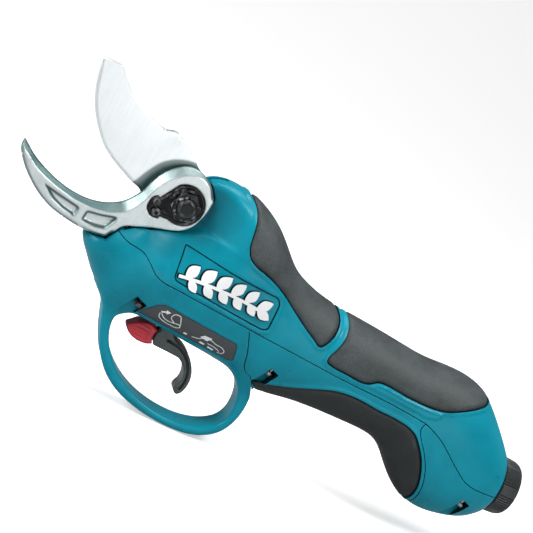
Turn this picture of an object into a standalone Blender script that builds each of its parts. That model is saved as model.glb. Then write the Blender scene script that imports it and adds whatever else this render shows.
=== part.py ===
"""Battery electric pruner: hand-held shear head with trigger, ball-screw drive and cord socket.

Design coordinates are millimetres: +X runs back along the handle, +Z is up, and +Y runs across the
tool away from the nut side, with y = 0 its middle plane. The blade pivot's axis is x = 0, z = 0.
ORIGIN moves the design so that the object's origin is the centre of the pivot bolt's end face.
"Near" means the nut side (-Y), "far" the other side (+Y).
"""

import math

import bmesh
import bpy
from mathutils import Vector

MM = 0.001

# ---- driving dimensions, mm ----
BOLT_END = 14.6       # the pivot bolt's end stands this far out from the middle plane
ORIGIN = (0.0, BOLT_END, 0.0)
GAP = 0.3             # clearance between fitted pieces
JOINT_STEP = 0.1      # how far a shell starts behind the seam it shares with the one in front
PAD = 1.7             # rubber grip thickness
PAD_FLOOR = 1.7       # plastic left under the pads
SKIN_SEGMENTS = 22    # points round each section of the outer skin
BLADE_T = 3.4         # cutting blade thickness
ANVIL_Y = (-9.0, -2.0)
ANVIL_CUT_Y = -10.0   # cuts into the anvil's near face start outside it
TAIL_R = 25.0         # pivot to tail pin
SWING = math.radians(43.0)
DRIVE_TILT = math.radians(7.5)   # drive axis runs down to the rear by this much
LEAD = 8.0            # ball screw lead
NUT_BORE = 5.5
GEAR_MODULE = 0.6
SUN_TEETH, PLANET_TEETH = 12, 15
RING_TEETH = SUN_TEETH + 2 * PLANET_TEETH
SHAFT_CLEARANCE_R = 1.75         # bore of the rotor and motor bearings
HUB_SEAT_NEAR, HUB_SEAT_FAR = 5.0, 8.6   # how far the head's sides stand out beside the pivot
DISH_RIM = (30.0, 20.0)  # radius about the pivot, and distance from the middle plane
GUARD_W = 8.0         # half width of the trigger guard strap
SOCKET_Z = -60.4      # height of the cord socket's axis
CONTACT_Y = 3.9       # contacts and power leads lie this far either side of the middle
TRIGGER_PIVOT = (20.0, -47.4)    # this and the next three: x, z
LOCK_PIVOT = (25.0, -64.0)
ANVIL_SCREW = (27.5, -8.8)
PLATE_SCREW = (-11.4, -8.2)

# ---- drive axis: below the pivot at FOOT; DRIVE_DIR points rearwards, DOWN_DIR square to it ----
SIDE_DIR = Vector((0, 1, 0))
DRIVE_DIR = Vector((math.cos(DRIVE_TILT), 0, -math.sin(DRIVE_TILT)))
DOWN_DIR = Vector((-math.sin(DRIVE_TILT), 0, -math.cos(DRIVE_TILT)))
FOOT = DOWN_DIR * TAIL_R
PIN_T = -TAIL_R * math.sin(SWING / 2)    # tail pin's place along the drive axis
PIN_POINT = DOWN_DIR * (TAIL_R * math.cos(SWING / 2)) + DRIVE_DIR * PIN_T


def across(x, z):
    """Line across the tool through x, z, as (point, direction)."""
    return (x, 0, z), SIDE_DIR


def lengthwise(y):
    """Line along +X at the cord socket's height."""
    return (0, y, SOCKET_Z), (1, 0, 0)


PIVOT = across(0, 0)
DRIVE = (FOOT, DRIVE_DIR)
TAIL_PIN = across(PIN_POINT.x, PIN_POINT.z)

# ---- body stations: x, top z, bottom z, half width, section exponent ----
BODY = [
    (-35.0, -32.0, -34.5, 4.0, 2.0), (-33.5, -29.5, -37.5, 9.0, 2.1),
    (-30.0, -27.0, -41.5, 11.8, 2.2), (-25.0, -23.5, -47.5, 13.5, 2.3),
    (-19.0, -20.0, -53.0, 15.0, 2.4), (-13.0, -15.0, -57.5, 16.2, 2.5),
    (-6.0, -3.0, -58.5, 17.4, 2.5), (1.0, 13.0, -58.5, 18.4, 2.5),
    (8.0, 18.4, -58.7, 19.2, 2.5), (16.0, 19.3, -59.0, 19.9, 2.5),
    (24.0, 18.8, -59.6, 20.5, 2.5), (32.0, 16.8, -60.2, 20.9, 2.5),
    (40.0, 13.6, -60.9, 21.0, 2.5), (48.0, 9.0, -61.6, 20.9, 2.45),
    (56.0, 1.8, -62.6, 20.6, 2.4), (64.0, -5.7, -65.0, 20.2, 2.35),
    (72.0, -9.3, -67.2, 19.8, 2.3), (82.0, -12.2, -65.9, 19.5, 2.25),
    (94.0, -13.9, -63.9, 19.2, 2.2), (108.0, -14.7, -63.0, 19.2, 2.2),
    (122.0, -15.7, -62.7, 19.2, 2.2), (134.0, -16.8, -62.6, 19.2, 2.2),
    (142.0, -17.6, -63.8, 19.4, 2.2), (149.0, -17.6, -68.4, 19.8, 2.2),
    (155.0, -17.0, -74.8, 20.2, 2.25), (162.0, -16.6, -81.0, 20.6, 2.3),
    (170.0, -16.7, -85.8, 20.8, 2.35), (178.0, -18.1, -87.9, 20.8, 2.4),
    (186.0, -21.4, -87.5, 20.4, 2.4), (194.0, -28.4, -86.0, 19.6, 2.4),
    (202.0, -35.7, -83.8, 18.4, 2.3), (208.0, -41.6, -80.0, 16.8, 2.2),
    (210.8, -45.0, -75.8, 15.4, 2.0),
]

# ---- side-view lines and outlines: x, z ----
# under the upper housing, from the front to the rear cover, then on above the cover
UPPER_SEAM = [
    (-23.0, -23.6), (-18.0, -25.4), (-8.8, -26.4), (-4.3, -29.2), (2.7, -34.0), (16.4, -35.1),
    (31.0, -35.8), (53.0, -37.1), (82.0, -38.9), (105.0, -40.2), (135.0, -40.9), (155.4, -42.2)]
UPPER_SEAM_REAR = [
    (161.0, -44.1), (167.0, -46.8), (174.0, -51.3), (182.4, -56.9), (190.3, -61.2),
    (196.0, -62.4), (203.0, -62.7)]
GUARD_JOINT = 7       # the UPPER_SEAM point where the guard seam leaves it
GUARD_SEAM = [
    (53.0, -37.1), (58.1, -47.7), (62.5, -57.6), (67.4, -60.2), (73.6, -69.6), (76.0, -76.0)]
COVER_SEAM = [
    (155.4, -42.2), (154.8, -46.0), (156.4, -49.2), (161.3, -54.8), (165.8, -60.6),
    (169.6, -67.4), (172.6, -75.5), (173.8, -83.0), (173.8, -95.0)]
LOWER_PAD = [
    (68.9, -61.9), (88.1, -55.1), (105.6, -47.6), (112.0, -46.3), (119.5, -46.0),
    (130.5, -46.8), (141.3, -47.0), (149.8, -48.2), (153.7, -50.0), (159.1, -55.2),
    (163.3, -60.5), (167.2, -67.5), (170.2, -75.0), (171.4, -83.0), (171.4, -95.0),
    (75.6, -95.0), (74.2, -69.8)]
FRONT_PAD = [
    (20.4, 24.0), (25.8, 18.9), (30.0, 15.0), (32.0, 10.6), (33.2, 3.9), (34.5, -2.6),
    (37.0, -6.4), (41.2, -8.6), (46.8, -10.0), (53.0, -12.0), (60.7, -15.6), (68.7, -20.4),
    (77.4, -25.4), (83.6, -28.5), (88.4, -30.6), (91.3, -27.4), (93.4, -22.1), (93.6, -16.7),
    (92.0, -12.6), (89.0, 0.0), (60.0, 30.0), (24.0, 34.0)]
REAR_PAD = [
    (93.6, -8.0), (97.9, -13.2), (99.1, -17.4), (98.9, -22.4), (97.0, -28.3), (94.6, -33.4),
    (94.9, -35.6), (98.0, -36.6), (106.7, -37.2), (116.0, -37.6), (119.2, -36.9),
    (123.4, -34.2), (127.0, -33.7), (141.4, -34.6), (155.6, -34.3), (162.4, -33.0),
    (170.8, -29.3), (179.0, -25.1), (183.0, -23.0), (187.4, -17.0), (184.0, 10.0), (94.0, 10.0)]
# the strap's outer line runs front to rear, its inner line rear to front
GUARD_OUTER = [
    (-17.6, -50.0), (-13.2, -57.0), (-10.3, -65.0), (-6.2, -75.0), (-1.2, -83.5), (6.0, -91.0),
    (15.0, -96.3), (26.0, -99.8), (37.0, -101.6), (47.0, -102.0), (56.0, -101.0), (63.0, -98.4),
    (68.6, -94.2), (72.2, -88.6), (74.1, -82.0), (74.5, -75.8), (73.6, -70.0), (67.0, -60.6)]
GUARD_INNER = [
    (62.0, -60.0), (66.2, -68.6), (68.6, -74.5), (69.5, -80.0), (69.0, -85.4), (66.3, -90.4),
    (61.0, -94.3), (53.0, -96.8), (43.0, -97.5), (30.0, -96.0), (19.0, -92.3), (9.2, -86.3),
    (3.2, -80.6), (-1.3, -74.2), (-3.8, -67.6), (-4.0, -62.5), (-1.6, -57.4), (-3.0, -50.0)]
# rooms cut in the head of the housing
ANVIL_BAY = [
    (-60.0, -20.0), (-60.0, -36.0), (-31.0, -31.2), (-25.7, -30.3), (-23.7, -26.0),
    (-21.2, -22.0), (-15.2, -19.1), (-7.6, -16.2), (-1.8, -14.3), (3.8, -11.9), (8.0, -7.7),
    (10.6, -0.9), (11.5, 5.8), (11.4, 9.2), (7.9, 13.8), (3.1, 16.9), (0.0, 40.0), (-60.0, 40.0)]
BLADE_SLOT = [
    (-40, 60), (14.6, 60), (14.6, -6), (17.0, -22.0), (15.0, -30.0), (-22.0, -30.0),
    (-24.0, -10.0), (-40.0, -10.0)]
YOKE_ROOM = [
    (-25.0, -27.0), (-23.0, -19.6), (-12.0, -19.0), (4.0, -19.4), (22.0, -20.6), (30.0, -22.0),
    (30.0, -30.0), (-20.0, -30.0)]
FRAME_ROOM = [
    (-13.0, 9.0), (-5.0, 11.6), (2.2, 12.2), (9.2, 8.4), (31.4, -1.8), (46.6, -11.2),
    (50.0, -20.6), (40.0, -20.2), (22.0, -15.6), (12.0, -10.0), (4.0, -11.7), (-4.0, -11.5),
    (-13.0, -7.0)]
TANG_ROOM = [(7.0, -9.0), (32.0, -14.6), (32.0, -2.2), (8.0, 4.4)]
# cutting head
ANVIL = [
    (-80.6, -4.4), (-80.4, -8.6), (-77.0, -14.0), (-71.2, -19.4), (-64.4, -24.2),
    (-56.1, -28.0), (-47.3, -29.9), (-38.8, -30.8), (-31.2, -30.4), (-26.4, -29.4),
    (-24.4, -25.6), (-21.8, -21.4), (-15.4, -18.4), (-7.8, -15.5), (-2.0, -13.6), (3.4, -11.3),
    (7.4, -7.3), (9.9, -0.7), (10.8, 5.8), (10.7, 9.0), (7.4, 13.3), (2.9, 16.2), (-2.0, 17.8),
    (-6.6, 17.2), (-11.2, 14.5), (-15.8, 9.4), (-18.9, 3.2), (-20.6, -2.2), (-22.2, -5.4),
    (-26.2, -10.8), (-33.0, -15.1), (-41.0, -17.2), (-48.9, -17.3), (-57.5, -15.8),
    (-65.8, -13.0), (-73.0, -9.6)]
ANVIL_POCKETS = [
    [(-67.0, -18.2), (-60.0, -20.4), (-52.0, -22.4), (-46.2, -22.9), (-44.6, -26.4),
     (-50.6, -26.2), (-57.0, -24.6), (-63.4, -21.4)],
    [(-42.0, -23.0), (-35.0, -22.6), (-28.6, -21.0), (-26.6, -22.4), (-28.8, -27.4),
     (-35.4, -27.9), (-41.2, -27.4)]]
ANVIL_THINNING = [
    (-84.0, 3.0), (-84.0, -6.0), (-73.0, -11.4), (-65.8, -15.4), (-57.5, -18.2),
    (-48.9, -19.8), (-41.0, -19.8), (-33.0, -18.0), (-24.6, -13.0), (-19.6, -5.0), (-25.0, 20.0)]
ANVIL_TANG = [(7.6, -7.3), (31.0, -14.0), (31.0, -3.0), (8.8, 3.6)]
BLADE = [
    (-64.9, 44.8), (-55.5, 44.9), (-50.7, 40.0), (-45.1, 35.2), (-35.6, 30.2), (-27.4, 28.2),
    (-20.8, 27.6), (-18.2, 28.7), (-12.4, 25.6), (-5.3, 20.9), (-1.0, 17.6), (5.4, 13.6),
    (10.0, 8.4), (11.8, 1.0), (9.6, -7.0), (3.0, -12.4), (-4.6, -18.0), (-6.6, -22.0),
    (-7.4, -25.4), (-11.0, -27.6), (-15.6, -26.6), (-18.0, -22.4), (-17.0, -17.0),
    (-17.6, -9.0), (-21.7, -3.4), (-26.8, -1.7), (-33.1, 0.8), (-40.0, 4.0), (-46.8, 8.4),
    (-52.6, 14.4), (-57.6, 21.1), (-61.3, 28.4), (-63.8, 36.9)]
BLADE_BEVEL = [
    (-70.0, 50.0), (-62.9, 44.8), (-61.0, 36.4), (-58.4, 29.2), (-54.8, 22.4), (-50.0, 16.2),
    (-44.6, 10.8), (-38.2, 6.8), (-31.8, 3.8), (-26.2, 1.6), (-21.0, 0.4), (-30.0, -12.0),
    (-60.0, 0.0), (-76.0, 30.0)]
HEAD_FRAME = [
    (-8.6, 7.4), (-4.6, 10.4), (2.0, 11.2), (8.6, 7.4), (31.0, -2.6), (46.0, -12.0),
    (49.0, -19.5), (40.5, -19.0), (30.0, -17.0), (22.0, -14.5), (12.0, -9.0), (4.0, -10.8),
    (-4.0, -10.6), (-9.4, -6.4), (-11.3, 0.0)]
FRAME_LUG = [
    (21.8, -3.2), (31.0, -2.8), (40.0, -8.0), (40.0, -20.0), (31.0, -14.2), (21.8, -12.6)]
FRAME_WEB = [(38.0, -7.0), (46.5, -12.2), (48.5, -20.0), (38.5, -18.5)]

# ---- housing screws, one on each side: shell, x, z, distance from the middle, boss's lower end
HOUSING_SCREWS = [
    ("guard_housing", 2.0, -50.0, 11.0, -6.0),
    ("lower_housing", 74.5, -53.2, 12.6, -3.6),
    ("rear_cover", 196.5, -73.0, 13.0, -5.0),
]

# ---- plain rings on the drive axis: name, start, end, bore radius, radius, segments, material
DRIVE_RINGS = [
    ("ball_nut", PIN_T + 14.0, PIN_T + 36.0, NUT_BORE, 9.0, 18, "ground_steel"),
    ("bearing_inner_race", 46.6, 55.6, 5.2, 7.0, 18, "ground_steel"),
    ("bearing_outer_race", 46.6, 55.6, 8.7, 10.95, 18, "ground_steel"),
    ("stator_core", 83.0, 112.0, 9.6, 13.7, 18, "ground_steel"),
    ("motor_rotor", 84.0, 111.0, SHAFT_CLEARANCE_R, 9.1, 18, "black_steel"),
    ("motor_bearing_front", 74.2, 77.4, SHAFT_CLEARANCE_R, 5.3, 14, "ground_steel"),
    ("motor_bearing_rear", 117.0, 120.0, SHAFT_CLEARANCE_R, 5.3, 14, "ground_steel"),
]

# ---- turned pieces on the drive axis: name, segments, material, profile of (distance, radius)
DRIVE_TURNED = [
    ("gear_case", 20, "die_cast_aluminium",
     [(58.2, 12.6), (58.2, 16.0), (73.6, 16.0), (73.6, 15.2), (59.6, 15.2), (59.6, 12.6)]),
    ("motor_can", 20, "black_steel",
     [(74.0, 5.6), (74.0, 15.2), (119.6, 15.2), (119.6, 14.0), (78.0, 14.0), (78.0, 5.6)]),
    ("stator_winding_front", 14, "copper_winding",
     [(79.6, 10.6), (79.6, 13.2), (82.7, 13.4), (82.7, 10.2)]),
    ("stator_winding_rear", 14, "copper_winding",
     [(112.3, 10.2), (112.3, 13.4), (115.4, 13.2), (115.4, 10.6)]),
    ("motor_end_cap", 20, "die_cast_aluminium",
     [(116.8, 5.6), (116.8, 7.6), (119.9, 7.6), (119.9, 15.2), (123.4, 15.2), (123.4, 0.0),
      (122.0, 0.0), (122.0, 5.6)]),
]

# ---- materials: base colour, roughness, metallic ----
MATERIALS = {
    "teal_plastic": ((0.0, 0.29, 0.38), 0.38, 0.0),
    "grip_rubber": ((0.055, 0.06, 0.062), 0.85, 0.0),
    "ground_steel": ((0.78, 0.80, 0.80), 0.28, 1.0),
    "cast_steel": ((0.55, 0.62, 0.61), 0.42, 1.0),
    "black_steel": ((0.04, 0.04, 0.045), 0.45, 0.6),
    "dark_plastic": ((0.05, 0.055, 0.06), 0.5, 0.0),
    "red_plastic": ((0.55, 0.03, 0.05), 0.4, 0.0),
    "die_cast_aluminium": ((0.6, 0.61, 0.62), 0.5, 1.0),
    "brass": ((0.72, 0.52, 0.25), 0.3, 1.0),
    "circuit_board": ((0.02, 0.16, 0.07), 0.5, 0.0),
    "copper_winding": ((0.6, 0.27, 0.12), 0.35, 1.0),
    "wire_insulation": ((0.3, 0.02, 0.02), 0.5, 0.0),
}


# ---------------------------------------------------------------- scene
def clear_scene():
    for obj in list(bpy.data.objects):
        bpy.data.objects.remove(obj, do_unlink=True)


def add_origin():
    """Empty that carries every piece."""
    origin = bpy.data.objects.new("origin", None)
    bpy.context.scene.collection.objects.link(origin)
    origin.location = tuple(c * MM for c in ORIGIN)


def add_materials():
    for name, (colour, roughness, metallic) in MATERIALS.items():
        mat = bpy.data.materials.new(name)
        mat.use_nodes = True
        inputs = mat.node_tree.nodes["Principled BSDF"].inputs
        inputs["Base Color"].default_value = (*colour, 1.0)
        inputs["Roughness"].default_value = roughness
        inputs["Metallic"].default_value = metallic


def finish(obj, name, material):
    """Makes the object a finished piece: its name, material, shading and parent."""
    obj.name = name
    obj.data.name = name
    obj.data.materials.clear()
    obj.data.materials.append(bpy.data.materials[material])
    obj.data.shade_smooth()
    obj.data.set_sharp_from_angle(angle=math.radians(32))
    obj.parent = bpy.data.objects["origin"]


# ---------------------------------------------------------------- meshes and Booleans
def make(verts, faces):
    mesh = bpy.data.meshes.new("part")
    mesh.from_pydata([tuple(c * MM for c in v) for v in verts], [], faces)
    mesh.update()
    bm = bmesh.new()
    bm.from_mesh(mesh)
    bmesh.ops.recalc_face_normals(bm, faces=bm.faces)
    bm.to_mesh(mesh)
    bm.free()
    obj = bpy.data.objects.new("part", mesh)
    bpy.context.scene.collection.objects.link(obj)
    return obj


def drop(obj):
    mesh = obj.data
    bpy.data.objects.remove(obj, do_unlink=True)
    bpy.data.meshes.remove(mesh)


def settle(obj):
    """Replaces the object's mesh by its evaluated one."""
    bpy.context.view_layer.update()
    depsgraph = bpy.context.evaluated_depsgraph_get()
    mesh = bpy.data.meshes.new_from_object(obj.evaluated_get(depsgraph))
    old = obj.data
    obj.modifiers.clear()
    obj.data = mesh
    bpy.data.meshes.remove(old)


def boolean(obj, tools, operation, solver):
    """Applies the tools one after another and removes them."""
    for tool in tools:
        mod = obj.modifiers.new(operation, "BOOLEAN")
        mod.operation = operation
        mod.solver = solver
        mod.object = tool
        settle(obj)
        drop(tool)
    return obj


def cut(obj, *tools, solver="EXACT"):
    return boolean(obj, tools, "DIFFERENCE", solver)


def fuse(obj, *tools, solver="EXACT"):
    return boolean(obj, tools, "UNION", solver)


def intersect(obj, tool, solver="EXACT"):
    return boolean(obj, [tool], "INTERSECT", solver)


def tidy(obj):
    """Welds points left close together by a Boolean."""
    bm = bmesh.new()
    bm.from_mesh(obj.data)
    bmesh.ops.remove_doubles(bm, verts=bm.verts, dist=0.02 * MM)
    bmesh.ops.dissolve_degenerate(bm, dist=0.005 * MM, edges=bm.edges)
    bm.to_mesh(obj.data)
    bm.free()
    return obj


def keep_largest(obj):
    """Drops slivers that a cut leaves apart from the main shell."""
    bm = bmesh.new()
    bm.from_mesh(obj.data)
    left, groups = set(bm.verts), []
    while left:
        todo, seen = [left.pop()], set()
        while todo:
            vert = todo.pop()
            seen.add(vert)
            for edge in vert.link_edges:
                other = edge.other_vert(vert)
                if other in left:
                    left.discard(other)
                    todo.append(other)
        groups.append(seen)
    groups.sort(key=len)
    slivers = [vert for group in groups[:-1] for vert in group]
    bmesh.ops.delete(bm, geom=slivers, context="VERTS")
    bm.to_mesh(obj.data)
    bm.free()
    return obj


# ---------------------------------------------------------------- solids
def loft(sections):
    """Skin through sections with equal numbers of points, closed by flat ends."""
    n = len(sections[0])
    verts = [point for section in sections for point in section]
    rings = [list(range(k * n, (k + 1) * n)) for k in range(len(sections))]
    faces = [rings[0], rings[-1][::-1]]
    for a, b in zip(rings, rings[1:]):
        faces += [[a[i], a[(i + 1) % n], b[(i + 1) % n], b[i]] for i in range(n)]
    return make(verts, faces)


def prism(outline, y0, y1):
    """Outline in the x, z plane carried from y0 to y1."""
    return loft([[(x, y, z) for x, z in outline] for y in (y0, y1)])


def block(x, y, z):
    """Box from (low, high) pairs."""
    return prism([(x[0], z[0]), (x[1], z[0]), (x[1], z[1]), (x[0], z[1])], *y)


def lathe(profile, line, segments):
    """Closed profile of (distance along the line, radius), turned about the line.
    Points of radius 0 meet on it."""
    origin, axis = Vector(line[0]), Vector(line[1]).normalized()
    side = Vector((0, 1, 0)) if abs(axis.y) < 0.9 else Vector((1, 0, 0))
    u = (side - axis * side.dot(axis)).normalized()
    w = axis.cross(u)
    verts, rings = [], []
    for t, r in profile:
        count = 1 if r <= 1e-6 else segments
        rings.append(list(range(len(verts), len(verts) + count)))
        for i in range(count):
            q = 2 * math.pi * i / segments
            verts.append(tuple(origin + axis * t + (u * math.cos(q) + w * math.sin(q)) * r))
    faces = []
    for a, b in zip(rings, rings[1:] + rings[:1]):
        if len(a) == 1 and len(b) == 1:
            continue
        for i in range(segments):
            j = (i + 1) % segments
            if len(a) == 1:
                faces.append([a[0], b[i], b[j]])
            elif len(b) == 1:
                faces.append([a[i], b[0], a[j]])
            else:
                faces.append([a[i], b[i], b[j], a[j]])
    return make(verts, faces)


def rod(line, start, end, radius, segments):
    return lathe([(start, 0), (start, radius), (end, radius), (end, 0)], line, segments)


def ring(line, start, end, bore, radius, segments):
    profile = [(start, bore), (start, radius), (end, radius), (end, bore)]
    return lathe(profile, line, segments)


def sweep(path, radius, segments=6):
    """Round wire along a list of points, with flat ends."""
    points = [Vector(p) for p in path]
    sections = []
    up = None
    for i, p in enumerate(points):
        ahead = (points[min(i + 1, len(points) - 1)] - points[max(i - 1, 0)]).normalized()
        if up is None:
            up = Vector((0, 1, 0)) if abs(ahead.y) < 0.8 else Vector((0, 0, 1))
        up = (up - ahead * up.dot(ahead)).normalized()
        w = ahead.cross(up)
        turns = [2 * math.pi * k / segments for k in range(segments)]
        sections.append([tuple(p + (up * math.cos(q) + w * math.sin(q)) * radius) for q in turns])
    return loft(sections)


def body(offset, segments=SKIN_SEGMENTS):
    """The body without its guard: one section per station, moved inwards by offset."""
    sections = []
    for x, top, bottom, half_width, exponent in BODY:
        if top - bottom <= 2 * offset + 1.0 or half_width <= offset + 1.0:
            continue
        x = min(max(x, BODY[0][0] + offset), BODY[-1][0] - offset)
        centre = (top + bottom) / 2
        high = (top - bottom) / 2 - offset
        wide = half_width - offset
        section = []
        for k in range(segments):
            q = 2 * math.pi * (k + 0.5) / segments
            cy, sz = math.cos(q), math.sin(q)
            section.append((x, wide * math.copysign(abs(cy) ** (2 / exponent), cy),
                            centre + high * math.copysign(abs(sz) ** (2 / exponent), sz)))
        sections.append(section)
    return loft(sections)


# ---------------------------------------------------------------- lines and outlines
def smooth_path(points, steps=3):
    """Catmull-Rom curve through the points."""
    out = []
    padded = [points[0]] + list(points) + [points[-1]]
    for a, b, c, d in zip(padded, padded[1:], padded[2:], padded[3:]):
        for k in range(steps):
            t = k / steps
            out.append(tuple(
                0.5 * (2 * b[i] + (c[i] - a[i]) * t
                       + (2 * a[i] - 5 * b[i] + 4 * c[i] - d[i]) * t * t
                       + (3 * b[i] - a[i] - 3 * c[i] + d[i]) * t ** 3)
                for i in range(len(b))))
    out.append(tuple(points[-1]))
    return out


def spaced(points, count):
    """count points at equal steps along an open line."""
    run = [0.0]
    for a, b in zip(points, points[1:]):
        run.append(run[-1] + math.dist(a, b))
    out = []
    for k in range(count):
        d = run[-1] * k / (count - 1)
        i = max(j for j in range(len(points) - 1) if run[j] <= d + 1e-9)
        f = (d - run[i]) / (run[i + 1] - run[i])
        out.append(tuple(a + (b - a) * f for a, b in zip(points[i], points[i + 1])))
    return out


def shrink(outline, distance):
    """Moves a closed outline inwards (outwards when the distance is negative)."""
    following = outline[1:] + outline[:1]
    area = sum(a[0] * b[1] - b[0] * a[1] for a, b in zip(outline, following))
    sign = 1.0 if area > 0 else -1.0
    out = []
    for i, point in enumerate(outline):
        a, b, c = Vector(outline[i - 1]), Vector(point), Vector(following[i])
        d1, d2 = (b - a).normalized(), (c - b).normalized()
        n1, n2 = Vector((-d1.y, d1.x)) * sign, Vector((-d2.y, d2.x)) * sign
        mitre = n1 + n2
        mitre = mitre.normalized() if mitre.length > 1e-6 else n1
        out.append(tuple(b + mitre * (distance / max(0.35, mitre.dot(n1)))))
    return out


def moved(points, dx=0.0, dz=0.0):
    return [(x + dx, z + dz) for x, z in points]


def arc(centre, radius, degrees):
    """Points about a centre at the given angles."""
    return [(centre[0] + radius * math.cos(math.radians(q)),
             centre[1] + radius * math.sin(math.radians(q))) for q in degrees]


def drive_point(along, side=0.0, below=0.0):
    """Point placed from the drive axis."""
    return FOOT + DRIVE_DIR * along + SIDE_DIR * side + DOWN_DIR * below


def drive_xz(along, below):
    point = drive_point(along, below=below)
    return point.x, point.z


def hub_outline():
    """Teardrop around the pivot, with a tab towards the lock plate's screw."""
    tab = [(-13.6, -0.2), (-16.3, -2.6), (-16.7, -7.4), (-14.6, -10.2), (-11.6, -11.0),
           (-8.6, -10.6)]
    return arc((-0.9, 0.4), 10.0, [-112 + 13.4 * k for k in range(19)]) + tab


# ---------------------------------------------------------------- housing
def guard_strap():
    """Trigger guard: a rounded strip between its outer and inner outlines."""
    count = 21
    outer = spaced(smooth_path(GUARD_OUTER), count)
    inner = spaced(smooth_path(GUARD_INNER[::-1]), count)
    # section: fraction of the way from outer to inner line, fraction of the half width
    corners = [(0.0, -0.7), (0.0, 0.7), (0.28, 1.0), (0.72, 1.0),
               (1.0, 0.7), (1.0, -0.7), (0.72, -1.0), (0.28, -1.0)]
    return loft([[(o[0] + (i[0] - o[0]) * f, g * GUARD_W, o[1] + (i[1] - o[1]) * f)
                  for f, g in corners] for o, i in zip(outer, inner)])


def hub_dish(side, seat, foot_rise, step_rise, grow):
    """One side's dish; side is -1 (near) or 1 (far), the rises are above the seat."""
    rim_radius, rim_side = DISH_RIM
    profile = [(40.0, 0), (40.0, 46.0 + grow), (rim_side - grow, rim_radius + grow),
               (seat + foot_rise - grow, 21.0 + grow), (seat + step_rise - grow, 16.0 + grow),
               (seat - grow, 12.0), (seat - grow, 0)]
    return lathe([(side * t, r) for t, r in profile], PIVOT, 32)


def hub_relief(grow):
    """The head's two sides sweep down to the pivot: a dish round its axis on either side."""
    return fuse(hub_dish(-1, HUB_SEAT_NEAR, 3.2, 0.4, grow),
                hub_dish(1, HUB_SEAT_FAR, 2.6, 0.3, grow), solver="MANIFOLD")


def pad_pocket(outline):
    """Pocket for a pad: the outline grown by the clearance, down to the pad's floor."""
    return cut(prism(shrink(outline, -GAP), -40, 40), body(PAD + GAP))


def head_rooms():
    return [
        prism(ANVIL_BAY, -40, -1.2),
        rod(PIVOT, -1.5, 40, 12.6, 20),      # hub, open to the far side
        prism(BLADE_SLOT, -2.3, 2.3),
        prism(YOKE_ROOM, -8.3, 8.3),
        rod(DRIVE, -6.0, 47.0, 9.5, 20),     # ball nut's travel
        prism(FRAME_ROOM, 2.1, 7.0),
        prism(TANG_ROOM, -3.9, 7.0),
    ]


def socket_mouth():
    return rod(lengthwise(0), 196, 220, 12.3, 20)


def trigger_slot():
    return block((1.5, 47.5), (-7.0, 7.0), (-75.0, -50.0))


def housing_shell(outline, cutters, with_guard=False):
    """The part of the hollow body inside a side-view outline."""
    shell = intersect(body(0.0), prism(outline, -45, 45), solver="MANIFOLD")
    if with_guard:
        fuse(shell, guard_strap(), solver="MANIFOLD")
        intersect(shell, prism(outline, -45, 45), solver="MANIFOLD")
    cavity = body(PAD + GAP + PAD_FLOOR, 16)
    cut(cavity, hub_relief(2.6), solver="MANIFOLD")
    # the motor and gearbox lie closer to the walls than the rest
    motor_room = rod(DRIVE, 40.0, 127.0, 16.4, 14)
    cut(shell, cavity, motor_room, hub_relief(0.0), *cutters, solver="MANIFOLD")
    return keep_largest(shell)


def build_shells():
    """Shells by name. Their outlines follow the seams and close well outside the body."""
    upper = (UPPER_SEAM + UPPER_SEAM_REAR
             + [(216.0, -62.8), (216.0, 40.0), (-50.0, 40.0), (-50.0, -22.0), (-30.0, -23.0)])
    guard = (moved(UPPER_SEAM[:GUARD_JOINT + 1], dz=-GAP) + moved(GUARD_SEAM[1:], dx=-GAP)
             + [(76.0, -76.0), (76.0, -110.0), (-50.0, -110.0), (-50.0, -22.4), (-30.0, -23.4)])
    lower = (moved(UPPER_SEAM[GUARD_JOINT:], dz=-GAP) + moved(COVER_SEAM[1:], dx=-GAP)
             + [(173.5, -110.0), (77.0, -110.0)] + moved(GUARD_SEAM[:0:-1], dx=JOINT_STEP))
    rear = (moved(UPPER_SEAM_REAR, dz=-GAP) + [(216.0, -63.1), (216.0, -110.0), (174.1, -110.0)]
            + moved(COVER_SEAM[-2:0:-1], dx=JOINT_STEP) + [(155.8, -42.9)])
    upper_cutters = [pad_pocket(FRONT_PAD), pad_pocket(REAR_PAD), *head_rooms(), socket_mouth()]
    return {
        "upper_housing": housing_shell(upper, upper_cutters),
        "guard_housing": housing_shell(guard, [*head_rooms(), trigger_slot()], with_guard=True),
        "lower_housing": housing_shell(lower, [pad_pocket(LOWER_PAD)]),
        "rear_cover": housing_shell(rear, [socket_mouth()]),
    }


def screw_joint(shell, place, boss_start, number):
    """Screw boss in a shell and its screw, which runs up towards the seam."""
    line = (place, (0.36, 0.0, 0.933))
    boss = rod(line, boss_start, 6.0, 3.6, 10)
    intersect(boss, body(0.35, 20), solver="MANIFOLD")   # kept just inside the skin
    fuse(shell, boss, solver="MANIFOLD")
    head_hole = rod(line, -20.0, 0.2, 2.9, 10)
    thread_hole = rod(line, 0.0, 8.0, 1.55, 10)
    cut(shell, head_hole, thread_hole, solver="MANIFOLD")
    screw = lathe([(-2.2, 0), (-2.2, 2.5), (-0.1, 2.5), (-0.1, 1.25), (6.4, 1.25), (6.4, 0)],
                  line, 10)
    finish(screw, f"housing_screw_{number}", "ground_steel")


def build_housing():
    shells = build_shells()
    number = 1
    for shell, x, z, y, boss_start in HOUSING_SCREWS:
        for side in (-1, 1):
            screw_joint(shells[shell], (x, side * y, z), boss_start, number)
            number += 1
    for name, shell in shells.items():
        finish(shell, name, "teal_plastic")


def build_pads():
    for name, outline in (("front_grip_pad", FRONT_PAD), ("rear_grip_pad", REAR_PAD),
                          ("lower_grip_pad", LOWER_PAD)):
        pad = intersect(body(0.0), prism(outline, -45, 45))
        cut(pad, body(PAD))
        finish(tidy(pad), name, "grip_rubber")


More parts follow.
